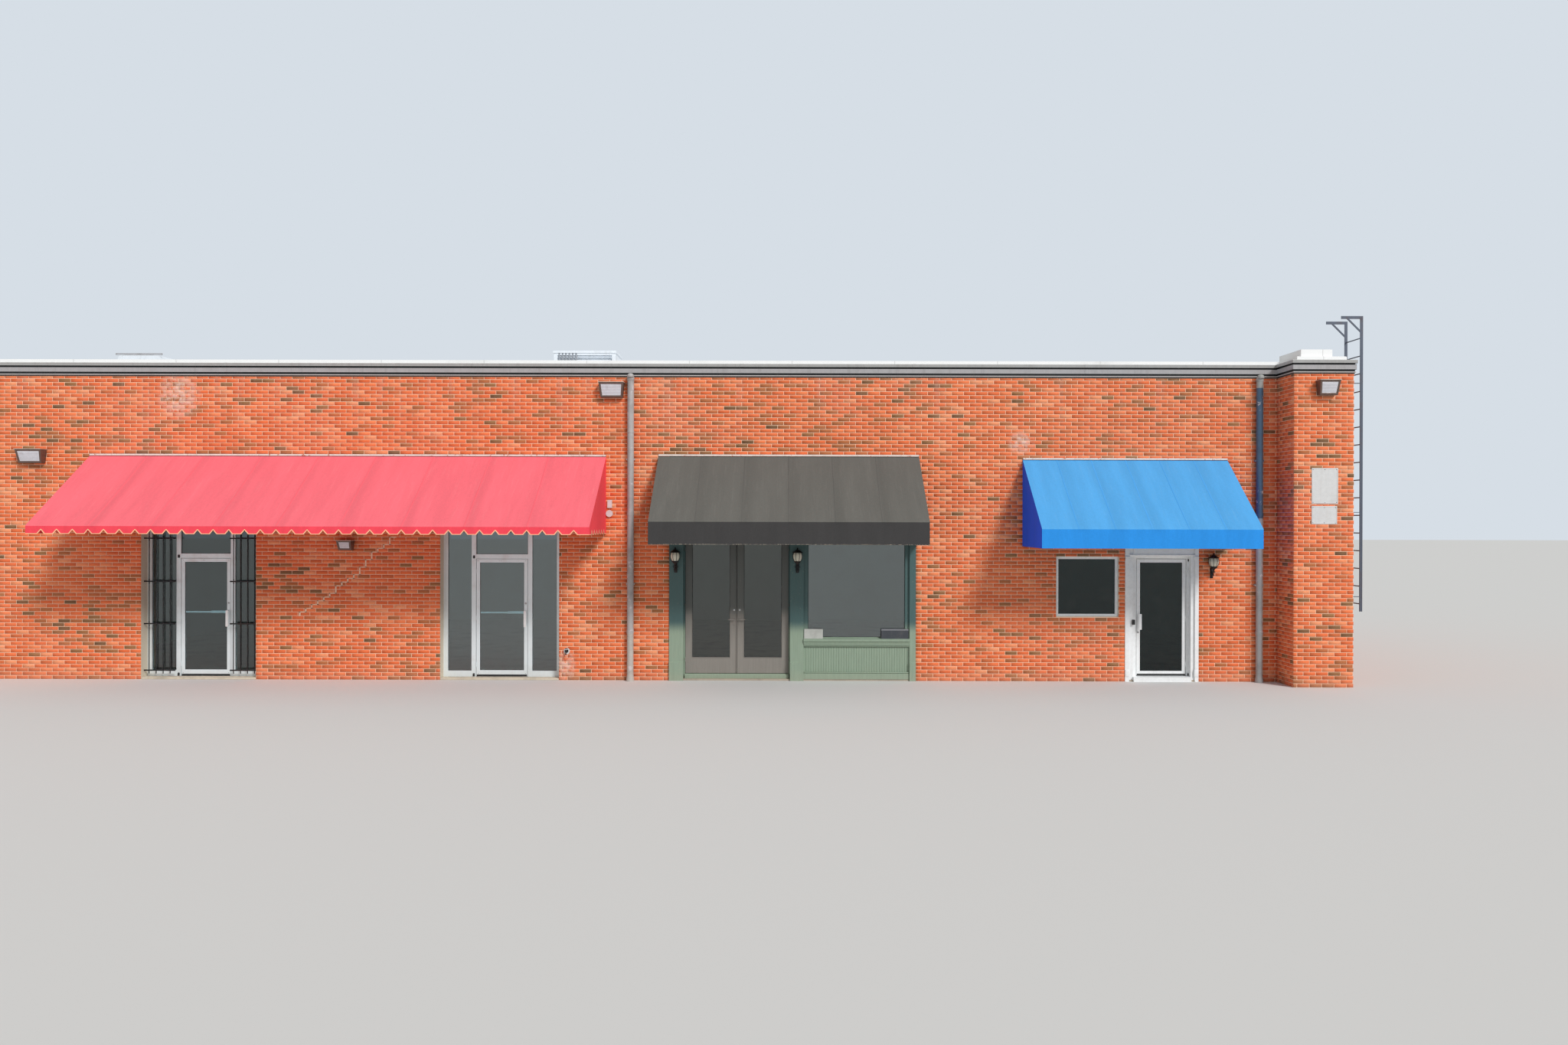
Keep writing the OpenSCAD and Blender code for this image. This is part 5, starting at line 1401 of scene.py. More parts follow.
@dataclass
class FloodLamps:
    """Bronze wall lamps with a ribbed lens in a sloping face under a small lid."""

    places: Sequence[LampPlace] = (
        LampPlace(-10.96, FRONT, 3.95, 0.46, 0.24),
        LampPlace(-0.70, FRONT, 5.14, 0.44, 0.26),
        LampPlace(11.63, PIER_FRONT, 5.13, 0.35, 0.25),
        LampPlace(-5.40, FRONT, 2.385, 0.26, 0.17),
    )
    out: float = 0.188
    foot: float = 0.62
    narrow: float = 0.88
    border: float = 0.03
    ribs: int = 9

    def housing(self, spot: LampPlace) -> Obj:
        """Tapers a block towards its foot and sinks the lens into its front."""
        low = (spot.x - spot.w / 2, spot.face - self.out, spot.z - spot.h / 2)
        high = (spot.x + spot.w / 2, spot.face - 0.0005, spot.z + spot.h / 2)
        obj = Bench.block("lamp_housing", low, high, 0)
        Bench.pick(obj, lambda face: face.normal.z < -0.5)
        foot = (spot.x, spot.face, low[2])
        bpy.ops.transform.resize(value=(self.narrow, self.foot, 1), center_override=foot)
        bpy.ops.object.mode_set(mode="OBJECT")
        Bench.inset(obj, lambda face: face.normal.y < -0.5, (self.border, 0), (0.004, -0.010))
        for finish in (Palette.lamp, Palette.lens):
            obj.data.materials.append(finish.material())
        for face in obj.data.polygons:
            face.material_index = int(face.select)
        return Bench.bevel(obj, 0.005)

    def lens_ribs(self, spot: LampPlace) -> Obj:
        """Copies one half-round rib down the lens."""
        lean = math.atan2(self.out * (1 - self.foot), spot.h)
        half = (spot.w * (1 + self.narrow) / 2 - 2 * self.border) * 0.94 / 2
        shape = Bench.block("lamp_rib", (-half, -0.0035, -0.0045), (half, 0.003, 0.0045), 0.003)
        middle_y = spot.face - self.out * (1 + self.foot) / 2 + 0.0085
        turn = Matrix.Rotation(lean, 4, "X")
        rows = []
        for i in range(self.ribs):
            share = (i + 0.9) / (self.ribs + 0.8)
            along = (share - 0.5) * (spot.h - 2.6 * self.border)
            at = (spot.x, middle_y - along * math.sin(lean), spot.z + along * math.cos(lean))
            shrink = Matrix.Scale(1 - (0.5 - share) * 0.1, 4, (1, 0, 0))
            rows.append(Matrix.Translation(at) @ turn @ shrink)
        return Bench.repeat("lamp_ribs", shape, rows)

    def lid(self, spot: LampPlace) -> Obj:
        """Makes the thin lid and its two hinge screws."""
        z = spot.z + spot.h / 2
        half = spot.w / 2 + 0.006
        low = (spot.x - half, spot.face - self.out - 0.012, z - 0.001)
        parts = [Bench.block("lamp_lid", low, (spot.x + half, spot.face - 0.001, z + 0.010), 0.003)]
        head = [(0.006, 0), (0.006, 0.004), (0.004, 0.006)]
        for side in (-0.38, 0.38):
            at = (spot.x + side * spot.w, spot.face - self.out - 0.010, z + 0.004)
            parts.append(Bench.turned("lid_screw", at, head, 10, Axis.OUT))
        return Bench.join("lamp_lid", parts)

    def build(self) -> None:
        """Builds the four lamps as housings, ribs and lids."""
        kinds = (
            ("housings", self.housing, Palette.lamp, "lamp_metal"),
            ("ribs", self.lens_ribs, Palette.lens, "fitting_white"),
            ("lids", self.lid, Palette.lamp_lid, "lamp_metal"),
        )
        for name, make, finish, slot in kinds:
            obj = deliver(Bench.join(f"wall_lamp_{name}", [make(p) for p in self.places]), finish)
            if name == "housings":
                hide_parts("flood_lamps")


@dataclass
class PorchLanterns:
    """Bulging glass lanterns in iron cages, each held by a scrolled wall bracket."""

    places: Sequence[Point] = ((0.432, -6.02, 2.205), (2.589, -6.02, 2.205), (9.932, FRONT, 2.126))
    out: float = 0.110
    bars: int = 8
    belly: Profile = (
        (0.050, -0.078), (0.064, -0.064), (0.076, -0.040), (0.084, -0.010),
        (0.085, 0.020), (0.079, 0.050), (0.068, 0.070),
    )
    cap: Profile = (
        (0.074, 0.068), (0.092, 0.072), (0.094, 0.078), (0.080, 0.088), (0.058, 0.098), (0.044, 0.114),
        (0.030, 0.120), (0.016, 0.124), (0.011, 0.134), (0.016, 0.142), (0.014, 0.150), (0.004, 0.161),
    )
    pan: Profile = (
        (0.010, -0.168), (0.016, -0.160), (0.010, -0.150), (0.014, -0.138), (0.020, -0.124),
        (0.044, -0.106), (0.060, -0.092), (0.062, -0.084), (0.056, -0.078),
    )
    arm: Profile = (
        (-0.110, -0.160), (-0.106, -0.186), (-0.080, -0.206), (-0.046, -0.204), (-0.020, -0.180),
        (-0.004, -0.150),
    )
    tail: Profile = ((-0.006, -0.262), (-0.030, -0.258), (-0.048, -0.244), (-0.052, -0.224))

    def iron(self) -> Obj:
        """Makes the cage, cap, pan, arm, scrolls and wall plate of one lantern."""
        parts = []
        for i in range(self.bars):
            angle = (i + 0.5) * 2 * math.pi / self.bars
            side, front = math.cos(angle), math.sin(angle)
            line = [((r + 0.003) * side, (r + 0.003) * front - self.out, z) for r, z in self.belly]
            parts.append(tube("cage_bar", line, 0.0038, 1))
        for name, profile in (("lantern_cap", self.cap), ("lantern_pan", self.pan)):
            parts.append(Bench.turned(name, (0, -self.out, 0), profile, 28))
        parts.append(tube("lantern_arm", [(0, y, z) for y, z in self.arm], 0.0065))
        for side, down, radius in ((0.030, -0.178, 0.026), (0.022, -0.232, 0.018)):
            for sign in (-1, 1):
                scroll = tube("lantern_scroll", volute(sign * side, down, radius), 0.0045, 1)
                scroll.location = (0, -0.052, 0)
                parts.append(Bench.settle(scroll))
        plate = Bench.block("lantern_plate", (-0.028, -0.009, -0.290), (0.028, -0.0005, -0.100), 0.004)
        Bench.inset(
            plate, lambda face: face.normal.y < -0.9 and -0.25 < face.center.z < -0.14, (0.006, 0.0025)
        )
        parts += [plate, tube("lantern_tail", [(0, y, z) for y, z in self.tail], 0.0055)]
        return Bench.join("lantern_iron", parts)

    def build(self) -> None:
        """Copies the one lantern to its three places."""
        iron = deliver(Bench.repeat("lantern_ironwork", self.iron(), self.places), Palette.iron)
        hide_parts("porch_lanterns")
        belly = Bench.turned("lantern_glass", (0, -self.out, 0), self.belly, 28)
        glass = deliver(Bench.repeat("lantern_bellies", belly, self.places), Palette.lantern_glass)
        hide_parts("porch_lanterns")


@dataclass
class Glazing:
    """Black gaskets round every pane."""

    width: float = 0.006
    depth: float = 0.004
    shops: Sequence[Rect] = ((-9.06, -8.456, -7.572, -7.02), (-3.75, -3.164, -2.244, -1.64))
    member: float = 0.08
    sill_z: float = 0.141
    transom_z: float = 2.229
    top_z: float = 2.852

    def gasket(self, name: str, low: Sequence[float], high: Sequence[float]) -> Obj:
        """Makes the gasket in front of one pane."""
        near = (low[0], low[1] - self.depth, low[2])
        return Bench.ring(name, near, (high[0], low[1] - 0.0003, high[2]), self.width)

    def panes(self) -> list[tuple[Point, Point]]:
        """Lists the fixed panes as corners."""
        y = -5.774
        found = []
        for x0, door_l, door_r, x1 in self.shops:
            found.append(((x0 + self.member, y, self.sill_z), (door_l - self.member, y, self.top_z)))
            found.append(((door_r + self.member, y, self.sill_z), (x1 - self.member, y, self.top_z)))
            found.append(((door_l, y, self.transom_z), (door_r, y, self.top_z)))
        found.append(((2.781, -5.938, 0.772), (4.498, -5.938, self.top_z)))
        found.append(((7.231, -5.924, 1.197), (8.237, -5.924, 2.170)))
        return found

    def build(self) -> None:
        """Builds the gaskets of the fixed panes and of each leaf."""
        fixed = Bench.join("gaskets_fixed", [self.gasket("gasket", low, high) for low, high in self.panes()])
        deliver(fixed, Palette.gasket, smooth=None)
        for door in ("door_a", "door_b", "door_c_left", "door_c_right", "door_d"):
            piece = self.gasket(f"gasket_{door}", *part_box(f"{door}_glass"))
            deliver(piece, Palette.gasket, door, smooth=None)


class Hardware:
    """Grips, locks, pivots, push-bar cases and small plates of the doors."""

    def grip(self, name: str, x: float, y: float, low: float, high: float, width: float) -> Obj:
        """Makes the flat grip in front of a pull bar, with a rolled edge and two screws."""
        left = x - width / 2
        parts = [
            Bench.block(name, (left, y - 0.008, low), (x + width / 2, y, high), 0.003, 2),
            Bench.block("lip", (left, y - 0.002, low), (left + 0.006, y + 0.020, high), 0.002, 1),
        ]
        for z in (low + 0.03, high - 0.03):
            head = [(0.007, 0), (0.007, 0.002), (0.004, 0.003)]
            parts.append(Bench.turned("screw", (x, y - 0.0075, z), head, 12, Axis.OUT))
        return Bench.join(name, parts)

    def lock(self, body: str, slot: str, x: float, y: float, z: float) -> None:
        """Makes a lock cylinder with its ring and keyway."""
        rim = [(0.018, -0.001), (0.018, 0.004), (0.013, 0.007), (0.010, 0.007)]
        ring = Bench.turned("lock", (x, y, z), rim, 20, Axis.OUT)
        core = Bench.turned("core", (x, y, z), [(0.009, 0), (0.009, 0.009), (0.008, 0.010)], 16, Axis.OUT)
        key = Bench.block(
            "keyway", (x - 0.001, y - 0.0115, z - 0.005), (x + 0.001, y - 0.008, z + 0.005), 0.0004, 1
        )
        deliver(Bench.join(f"lock_{body}", [ring, core, key]), Palette.steel, body)

    def metal_door(self, body: str, pull_x: float, x0: float, x1: float) -> None:
        """Dresses one of the two metal doors.

        Args:
            body: The door's body.
            pull_x: Middle of its pull.
            x0: Left edge of its leaf.
            x1: Right edge of its leaf.
        """
        slot = "shopfront_metal"
        deliver(self.grip(f"grip_{body}", pull_x, -5.8575, 0.925, 1.215, 0.046), Palette.white, body)
        self.lock(body, slot, pull_x + 0.002, -5.796, 1.345)
        case = Bench.block(
            f"push_case_{body}", (x1 - 0.36, -5.7705, 1.160), (x1 - 0.075, -5.742, 1.206), 0.006, 3
        )
        Bench.inset(case, lambda face: abs(face.normal.z) > 0.9, (0.004, -0.001))
        deliver(case, Palette.shopfront, body)
        sweep = Bench.block(
            f"sweep_{body}", (x0 + 0.006, -5.7985, 0.040), (x1 - 0.006, -5.7955, 0.072), 0.001, 1
        )
        deliver(sweep, Palette.gasket, body)
        head = [(0.0045, 0), (0.0045, 0.0012), (0.003, 0.002)]
        screw = Bench.turned("screw", (0, 0, 0), head, 10, Axis.OUT)
        middle = (x0 + x1) / 2
        spots = [(middle - dx, -5.7958, 2.108) for dx in (0.05, 0.02)]
        spots += [(x, -5.7958, z) for x in (x0 + 0.03, x1 - 0.03) for z in (0.09, 2.11)]
        deliver(Bench.repeat(f"screws_{body}", screw, spots), Palette.gasket, body)

    def pivots(self) -> None:
        """Makes the black pivot blocks on the frames beside the doors' hinge edges."""
        parts = []
        y = -5.80
        for x, z in ((-8.497, 2.152), (-3.205, 0.040), (-3.205, 2.152), (-8.497, 0.040)):
            low, high = (x - 0.016, y - 0.016, z), (x + 0.016, y + 0.001, z + 0.050)
            parts.append(Bench.block("pivot", low, high, 0.003))
            pin = [(0.006, 0), (0.006, 0.006), (0.004, 0.009)]
            parts.append(Bench.turned("pin", (x, y - 0.008, z + 0.049), pin, 12))
        for z in (0.094, 2.13):
            parts.append(Bench.block("pivot", (9.555, -5.897, z), (9.585, -5.879, z + 0.04), 0.003, 2))
        deliver(Bench.join("pivot_blocks", parts), Palette.gasket)

    def side_door(self) -> None:
        """Dresses the white side door: its grip, lock and the small key box on its casing."""
        grip = self.grip("grip_door_d", 8.690, -5.9385, 0.915, 1.195, 0.056)
        deliver(grip, Palette.white, "door_d")
        self.lock("door_d", "white_paint", 8.672, -5.876, 0.862)
        box = Bench.block("key_box", (8.528, -6.034, 1.010), (8.572, -5.9855, 1.100), 0.005, 3)
        Bench.inset(box, lambda face: face.normal.y < -0.95, (0.005, -0.002))
        knob = [(0.010, 0), (0.010, 0.004), (0.007, 0.006)]
        dial = Bench.turned("dial", (8.550, -6.032, 1.052), knob, 16, Axis.OUT)
        deliver(Bench.join("key_box", [box, dial]), Palette.gasket)
        sweep = Bench.block("sweep_door_d", (8.652, -5.8785, 0.094), (9.516, -5.8755, 0.124), 0.001, 1)
        deliver(sweep, Palette.gasket, "door_d")

    def double_door(self) -> None:
        """Dresses the double door: locks over the levers, a meeting strip, and kick-plate beads."""
        for body, x in (("door_c_left", 1.464), ("door_c_right", 1.562)):
            self.lock(body, "black_iron", x, -5.896, 1.245)
        strip = Bench.block("meeting_strip", (1.4905, -5.9035, 0.125), (1.5085, -5.8955, 2.555), 0.003, 2)
        deliver(strip, Palette.door_paint, "door_c_left")
        for body, x0, x1 in (("door_c_left", 0.717, 1.387), ("door_c_right", 1.639, 2.309)):
            low, high = (x0 - 0.010, -5.9010, 0.392), (x1 + 0.010, -5.8955, 2.448)
            bead = Bench.ring(f"bead_{body}", low, high, 0.010, 0.0015)
            deliver(bead, Palette.door_paint, body)

    def build(self) -> None:
        """Dresses every door."""
        self.metal_door("door_a", -7.607, -8.452, -7.576)
        self.metal_door("door_b", -2.279, -3.160, -2.248)
        self.pivots()
        self.side_door()
        self.double_door()


class FrontTrim:
    """Small trim on the front: thresholds, mouldings, capitals, and head strips."""

    def thresholds(self) -> None:
        """Makes the worn concrete strips under the two metal shopfronts."""
        parts = []
        for x0, x1 in ((-9.058, -7.022), (-3.748, -1.642)):
            strip = Bench.block("threshold", (x0, -6.004, 0.002), (x1, -5.812, 0.034), 0.008, 3)
            Bench.pick(strip, lambda face: face.normal.z > 0.9)
            bpy.ops.mesh.subdivide(number_cuts=24)
            bpy.ops.transform.vertex_random(offset=0.0015, uniform=0.0, normal=1.0, seed=4)
            bpy.ops.object.mode_set(mode="OBJECT")
            parts.append(strip)
        deliver(Bench.join("thresholds", parts), Palette.threshold)

    def sill_mouldings(self) -> None:
        """Makes the cove under the shop window's sill and the cap of the boarded panel's base."""
        rows = (
            (-6.032, 0.632, -5.982, 0.6595, 0.010, 4), (-6.018, 0.612, -5.982, 0.631, 0.006, 3),
            (-6.013, 0.1405, -5.979, 0.158, 0.006, 3),
        )
        parts = [
            Bench.block("moulding", (2.703, y0, z0), (4.576, y1, z1), edge, steps)
            for y0, z0, y1, z1, edge, steps in rows
        ]
        deliver(Bench.join("sill_mouldings", parts), Palette.green)

    def capitals(self) -> None:
        """Makes the stepped capitals and plinths of the side door's casings."""
        steps = ((2.196, 2.226, 0.016), (2.166, 2.194, 0.010), (2.150, 2.162, 0.005), (0.088, 0.210, 0.008))
        parts = []
        for x0, x1, left, right in ((8.402, 8.470, 0, 1), (9.634, 9.702, 1, 0)):
            for z0, z1, proud in steps:
                low = (x0 - left * proud, -6.015 - proud, z0)
                parts.append(Bench.block("capital", low, (x1 + right * proud, -6.0145, z1), 0.003, 2))
        deliver(Bench.join("casing_capitals", parts), Palette.white)

    def head_strips(self) -> None:
        """Makes the pale strip that closes the top edge of each awning against the wall."""
        parts = []
        head = [(0.006, 0), (0.006, 0.002), (0.003, 0.004)]
        for awning in Awnings.every:
            x0, x1, top = awning.x0 + 0.004, awning.x1 - 0.004, awning.top
            for back, low in ((-6.0205, top + 0.002), (-5.9995, top + 0.0308)):
                parts.append(Bench.block("head_strip", (x0, -6.0235, low), (x1, back, top + 0.034), 0.001, 1))
            count = int(awning.width / 0.3)
            for i in range(count):
                at = (awning.x0 + 0.15 + i * (awning.width - 0.3) / (count - 1), -6.0232, top + 0.018)
                parts.append(Bench.turned("head_screw", at, head, 8, Axis.OUT))
        deliver(Bench.join("awning_head_strips", parts), Palette.head_strip)

    def build(self) -> None:
        """Builds the trim."""
        self.thresholds()
        self.sill_mouldings()
        self.capitals()
        self.head_strips()


@dataclass
class Grilles:
    """The round-bar grilles over the first shop's sidelights, with their rails, bolts and collars."""

    sides: tuple[Point, ...] = ((-9.0597, -8.500, -8.9674), (-7.528, -7.0203, -7.4616))
    bars: int = 4
    pitch: float = 0.125
    bar_r: float = 0.008
    centre_y: float = -5.910
    low: float = 0.090
    high: float = 2.873
    rails: tuple[float, ...] = (0.150, 0.980, 1.735, 2.503)
    rail_h: float = 0.024
    rail_t: float = 0.012

    def build(self) -> None:
        """Builds bars and rails in place of the CAD's grilles, and their small fittings."""
        centres = [first + self.pitch * i for _, _, first in self.sides for i in range(self.bars)]
        edge = self.bar_r - 0.002
        profile = [
            (edge, self.low), (self.bar_r, self.low + 0.002), (self.bar_r, self.high - 0.002),
            (edge, self.high),
        ]
        bar = Bench.turned("grille_bar", (0, 0, 0), profile, 16)
        parts = [Bench.repeat("grille_bars", bar, [(x, self.centre_y, 0) for x in centres])]
        front = self.centre_y - self.rail_t / 2
        for x0, x1, _ in self.sides:
            for z in self.rails:
                high = (x1, front + self.rail_t, z + self.rail_h / 2)
                parts.append(Bench.block("grille_rail", (x0, front, z - self.rail_h / 2), high, 0.0015, 2))
        obj = deliver(Bench.join("sidelight_grilles", parts), Palette.iron)
        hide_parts("security_grilles")
        head = [(0.013, 0), (0.013, 0.002), (0.009, 0.002), (0.009, 0.008), (0.006, 0.010)]
        bolt = Bench.turned("bolt", (0, 0, 0), head, 6, Axis.OUT)
        ends = [x for x0, x1, _ in self.sides for x in (x0 + 0.025, x1 - 0.022)]
        spots = [(x, front + 0.0005, z) for x in ends for z in self.rails]
        deliver(Bench.repeat("grille_bolts", bolt, spots), Palette.iron)
        wide = self.bar_r + 0.0032
        sleeve = [(wide - 0.0024, -0.011), (wide, -0.008), (wide, 0.008), (wide - 0.0024, 0.011)]
        rows = [(x, self.centre_y, z + dz) for x in centres for z in self.rails[1:] for dz in (-0.03, 0.03)]
        collars = Bench.repeat("grille_collars", Bench.turned("collar", (0, 0, 0), sleeve, 14), rows)
        deliver(collars, Palette.iron)


class WallItems:
    """Small things on the walls and the roof's edge."""

    plates: tuple[Rect, ...] = ((11.39, 11.844, 3.15, 3.764), (11.39, 11.828, 2.80, 3.112))

    def downspout_tops(self) -> None:
        """Makes the rounded heads of the pipes, their sockets and the feet's lips."""
        head = [
            (0.058, 5.365), (0.0605, 5.372), (0.0605, 5.392), (0.056, 5.408), (0.044, 5.424), (0.026, 5.434),
            (0.004, 5.438),
        ]
        parts = []
        for x in (-0.365, 10.75):
            parts.append(Bench.turned("spout_head", (x, -6.108, 0), head, 28))
            for z in (0.85, HEAD_Z, 1.9, 4.4):
                ring = [(0.058, z - 0.016), (0.0625, z - 0.012), (0.0625, z + 0.012), (0.058, z + 0.016)]
                parts.append(Bench.turned("spout_ring", (x, -6.076, 0), ring, 28))
        deliver(Bench.join("downspout_heads", parts), Palette.spout)

    def coping_covers(self) -> None:
        """Copies one folded cover over the coping's joints, about every three metres."""
        rows = (
            (0.035, 5.5570, -6.0488, -6.0455, 5.6180, 0.001),
            (0.035, 5.6160, -6.0488, -5.9200, 5.6180, 0.0008),
            (0.030, 5.4505, -6.0368, -6.0335, 5.5375, 0.001),
        )
        parts = [
            Bench.block("cover", (-half, y0, z0), (half, y1, z1), edge, 1)
            for half, z0, y0, y1, z1, edge in rows
        ]
        spots = [(x, 0, 0) for x in (-10.6, -7.55, -4.5, -1.45, 1.6, 4.65, 7.7)]
        covers = Bench.repeat("coping_covers", Bench.join("cover", parts), spots)
        deliver(covers, Palette.coping)

    def blank_plates(self) -> None:
        """Copies one domed screw round the pier's blank plates and gives each a rim."""
        head = [(0.009, 0), (0.009, 0.002), (0.006, 0.005), (0.002, 0.006)]
        screw = Bench.turned("screw", (0, 0, 0), head, 12, Axis.OUT)
        spots = []
        for x0, x1, z0, z1 in self.plates:
            for x in (x0 + 0.025, (x0 + x1) / 2, x1 - 0.025):
                spots += [(x, -6.6655, z) for z in (z0 + 0.025, z1 - 0.025)]
        deliver(Bench.repeat("plate_screws", screw, spots), Palette.steel)
        rims = []
        for x0, x1, z0, z1 in self.plates:
            low, high = (x0 + 0.004, -6.6700, z0 + 0.004), (x1 - 0.004, -6.6655, z1 - 0.004)
            rims.append(Bench.ring("rim", low, high, 0.012, 0.0015))
        deliver(Bench.join("plate_rims", rims), Palette.fitting)

    def tap(self) -> None:
        """Makes the hose tap's body, spout, stem and wheel over its plate."""
        x = -1.50
        barrel = [
            (0.030, 0), (0.030, 0.004), (0.013, 0.006), (0.013, 0.05), (0.017, 0.054), (0.017, 0.07),
            (0.010, 0.074),
        ]
        bend = [(x, -6.060, 0.515), (x, -6.075, 0.500), (x, -6.084, 0.480), (x, -6.086, 0.458)]
        rod = [(0.008, 0), (0.008, 0.022), (0.005, 0.026), (0.005, 0.036)]
        rim = [(0.022, 0), (0.025, 0.003), (0.025, 0.008), (0.021, 0.011), (0.008, 0.006)]
        parts = [
            Bench.turned("tap", (x, -6.012, 0.52), barrel, 20, Axis.OUT),
            tube("tap_spout", bend, 0.010, 3),
            Bench.turned("tap_stem", (x, -6.056, 0.530), rod, 14),
            Bench.turned("tap_wheel", (x, -6.056, 0.562), rim, 20),
        ]
        deliver(Bench.join("hose_tap", parts), Palette.iron)

    def ladder(self) -> None:
        """Copies a weld collar to every rung end and a bolt to every bracket."""
        sleeve = [(0.010, 0), (0.017, 0.001), (0.014, 0.007), (0.0105, 0.010)]
        collar = Bench.turned("collar", (0, 0, 0), sleeve, 14, Axis.OUT)
        about = Matrix.Rotation(math.pi, 4, "Z")
        rows = []
        for k in range(16):
            z = 1.43 + 0.305 * k
            rows += [Matrix.Translation((12.27, -6.075, z)), Matrix.Translation((12.27, -6.595, z)) @ about]
        deliver(Bench.repeat("rung_welds", collar, rows), Palette.ladder)
        bolt = Bench.turned("bolt", (0, 0, 0), [(0.012, 0), (0.012, 0.007), (0.009, 0.009)], 6, Axis.SIDE)
        brackets = [(y, z) for y in (-6.58, -6.09) for z in (1.55, 3.0, 5.22)]
        spots = [(12.1215, y, z + dz) for y, z in brackets for dz in (-0.022, 0.022)]
        deliver(Bench.repeat("bracket_bolts", bolt, spots), Palette.steel)

    def roof(self) -> None:
        """Makes the roof unit's lid with its hump, its upright grille slots and the vent's thin hood edge."""
        lid = Bench.block("lid", (-2.79, -1.008, 6.592), (-1.40, -0.092, 6.612), 0.006, 2)
        Bench.pick(lid, lambda face: face.normal.z > 0.95)
        bpy.ops.mesh.inset(thickness=0.24, depth=0)
        bpy.ops.mesh.extrude_region_move(TRANSFORM_OT_translate={"value": (0, 0, 0.018)})
        bpy.ops.transform.resize(value=(0.9, 0.86, 1), center_override=(-2.095, -0.55, 6.63))
        bpy.ops.object.mode_set(mode="OBJECT")
        deliver(Bench.bevel(lid, 0.003), Palette.roof_metal)
        slot = Bench.block("slot", (-0.018, -0.006, -0.16), (0.018, 0.0, 0.16), 0.004, 2)
        spots = [(-2.66 + 0.075 * i, -1.0005, 6.41) for i in range(6)]
        deliver(Bench.repeat("grille_slots", slot, spots), Palette.slot_grey)
        rim = Bench.ring("vent_rim", (-10.715, -4.006, 6.052), (-9.805, -4.0005, 6.084), 0.008, 0.001)
        deliver(rim, Palette.lamp)

    def build(self) -> None:
        """Builds the items."""
        self.downspout_tops()
        self.coping_covers()
        self.blank_plates()
        self.tap()
        self.ladder()
        self.roof()


class CadDressing:
    """Gives every CAD node its finish."""

    finishes: tuple[tuple[Finish, str], ...] = (
        (Palette.concrete, "floor_slab"),
        (Palette.mortar, "front_wall_left front_wall_between_shops front_wall_middle front_wall_window_bay"),
        (Palette.mortar, "front_wall_right front_wall_upper corner_pier side_wall_right"),
        (Palette.mortar, "rear_wall party_wall_left"),
        (Palette.membrane, "roof_deck parapet_blocks"),
        (Palette.coping, "coping"),
        (Palette.roof_metal, "roof_unit roof_vent"),
        (Palette.ladder, "roof_ladder"),
        (Palette.spout, "downspouts"),
        (Palette.red, "red_awning"),
        (Palette.black, "black_awning"),
        (Palette.blue, "blue_awning"),
        (Palette.tube, "red_awning_frame black_awning_frame blue_awning_frame"),
        (Palette.shopfront, "shop_a_frame shop_b_frame door_a_leaf door_b_leaf"),
        (Palette.street_glass, "fixed_glass door_a_glass door_b_glass"),
        (Palette.green, "timber_front"),
        (Palette.door_paint, "door_c_left_leaf door_c_right_leaf"),
        (Palette.glass, "door_c_left_glass door_c_right_glass door_d_glass"),
        (Palette.white, "door_d_surround door_d_leaf side_window_frame"),
        (Palette.iron, "security_grilles porch_lanterns"),
        (Palette.lamp, "flood_lamps"),
        (Palette.fitting, "wall_fittings"),
        (Palette.box_paint, "sill_boxes"),
    )

    def build(self) -> None:
        """Assigns the finishes to the nodes' material slots."""
        finish_of = {name: finish for finish, names in self.finishes for name in names.split()}
        for name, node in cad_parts.items():
            finish = finish_of[name]
            if not node.material_slots:
                node.data.materials.append(finish.material())
            for slot in node.material_slots:
                slot.material = finish.material()
            LOG.info("%s wears %s", name, finish.name)


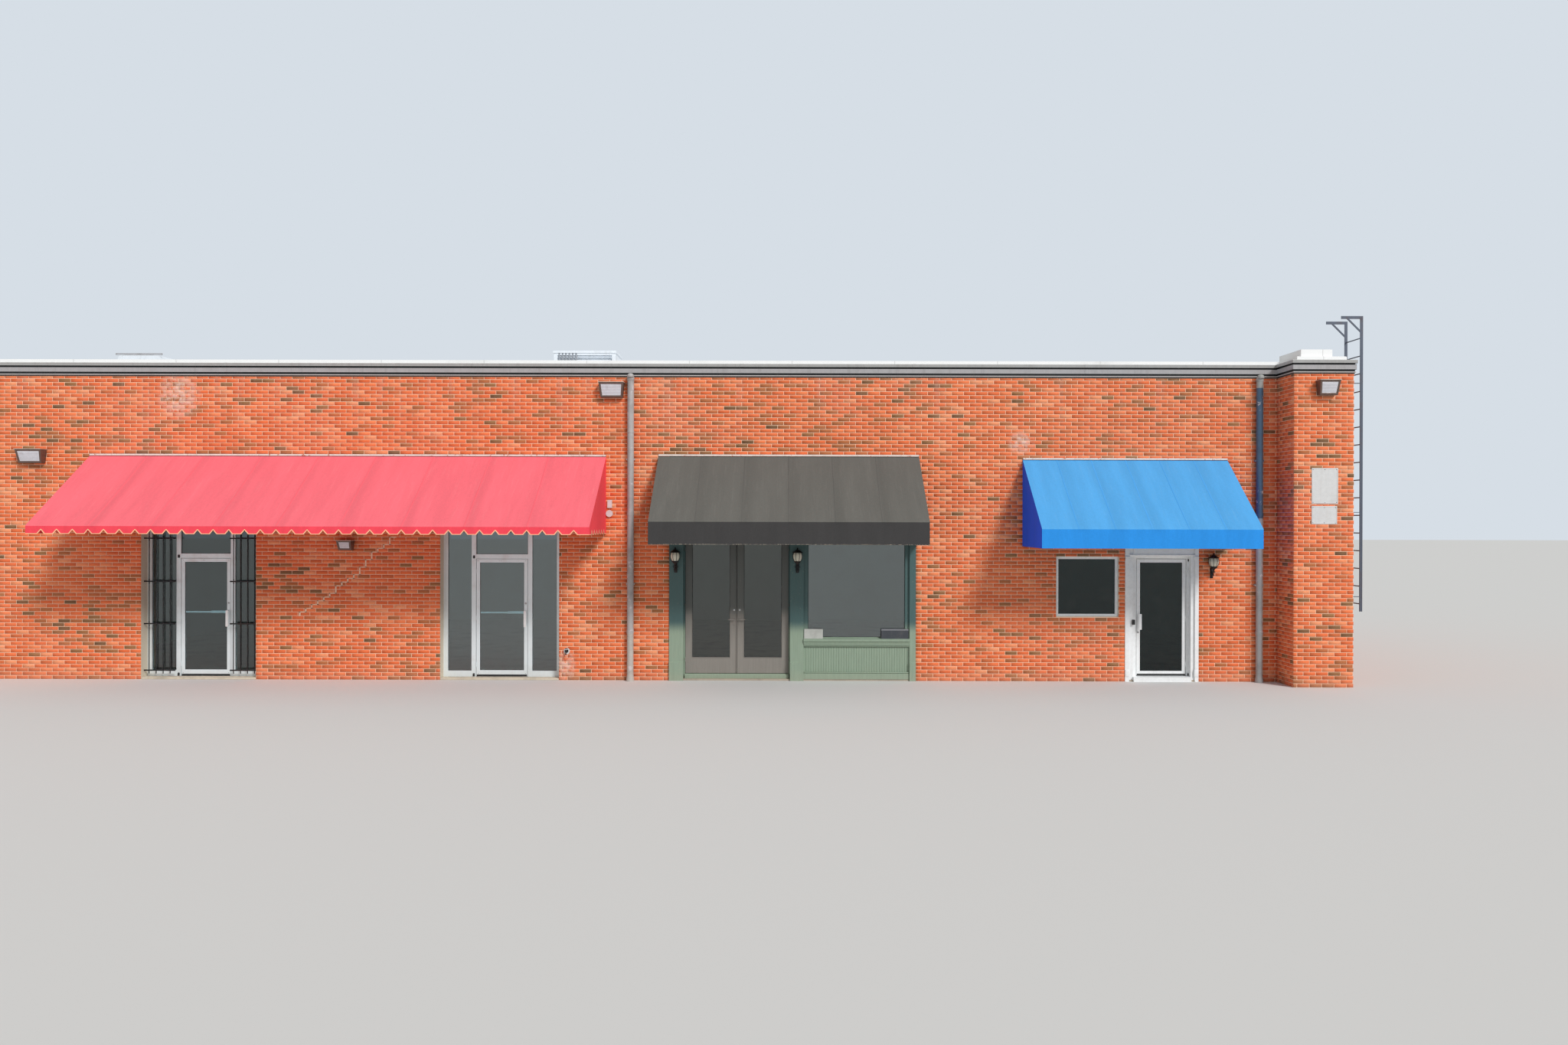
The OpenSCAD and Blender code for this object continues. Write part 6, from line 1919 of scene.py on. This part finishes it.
@dataclass
class Studio:
    """Camera, lights, floor and backdrop; none of it belongs to the building."""

    eye: Point = (2.361, -25.702, 2.843)
    focal_px: float = 1450.4
    photo_w: int = 2048
    yaw: float = 0.035
    pitch: float = -0.1
    roll: float = -0.129
    sky: float = 0.42
    sun: float = 2.2

    def camera(self) -> None:
        """Sets the camera where the photograph was taken."""
        data = bpy.data.cameras.new("street_camera")
        data.sensor_width = 36.0
        data.lens = self.focal_px / self.photo_w * data.sensor_width
        data.clip_end = 400.0
        camera = Bench.add("street_camera", data)
        camera.location = self.eye
        camera.rotation_euler = [math.radians(a) for a in (90 + self.pitch, self.roll, self.yaw)]
        bpy.context.scene.camera = camera

    def floor(self) -> None:
        """Lays the plain pale floor."""
        Bench.clear()
        bpy.ops.mesh.primitive_plane_add(size=300, location=(0, 0, 0))
        obj = bpy.context.object
        obj.name = "studio_floor"
        made = bpy.data.materials.new("studio_floor")
        made.use_nodes = True
        shader = made.node_tree.nodes["Principled BSDF"]
        shader.inputs["Base Color"].default_value = linear((222, 222, 220))
        shader.inputs["Roughness"].default_value = 0.95
        shader.inputs["Specular IOR Level"].default_value = 0.1
        obj.data.materials.append(made)

    def light(self) -> None:
        """Adds the soft key light and the sky that fills the shade."""
        data = bpy.data.lights.new("soft_key", "SUN")
        data.energy = self.sun
        data.angle = math.radians(14)
        lamp = Bench.add("soft_key", data)
        lamp.rotation_euler = Vector((0.455, -0.659, 0.600)).to_track_quat("Z", "Y").to_euler()
        world = bpy.data.worlds.new("studio_sky")
        bpy.context.scene.world = world
        world.use_nodes = True
        world.node_tree.nodes.clear()
        t = Tree(world.node_tree)
        path = t.node("ShaderNodeLightPath").outputs
        seen = t.math("MAXIMUM", path["Is Camera Ray"], path["Is Glossy Ray"])
        seen = t.math("MAXIMUM", seen, path["Is Transmission Ray"])
        white = {"Color": (1.0, 1.0, 1.0, 1.0), "Strength": self.sky}
        fill = t.fill(t.node("ShaderNodeBackground"), white)
        shown = t.fill(t.node("ShaderNodeBackground"), {"Color": linear((214, 222, 230)), "Strength": 1.0})
        both = t.fill(t.node("ShaderNodeMixShader"), {0: seen, 1: fill, 2: shown})
        t.feed(both, t.node("ShaderNodeOutputWorld").inputs["Surface"])

    def build(self) -> None:
        """Sets up the studio."""
        self.camera()
        self.floor()
        self.light()
        bpy.context.scene.view_settings.view_transform = "Standard"


def main() -> None:
    """Builds every part in order."""
    logging.basicConfig(level=logging.INFO, format="%(message)s")
    parts = (
        Studio, CadDressing, Brickwork, Awnings, FloodLamps, PorchLanterns, Glazing, Hardware, FrontTrim,
        Grilles, WallItems,
    )
    for part in parts:
        part().build()


if __name__ == "__main__":
    main()
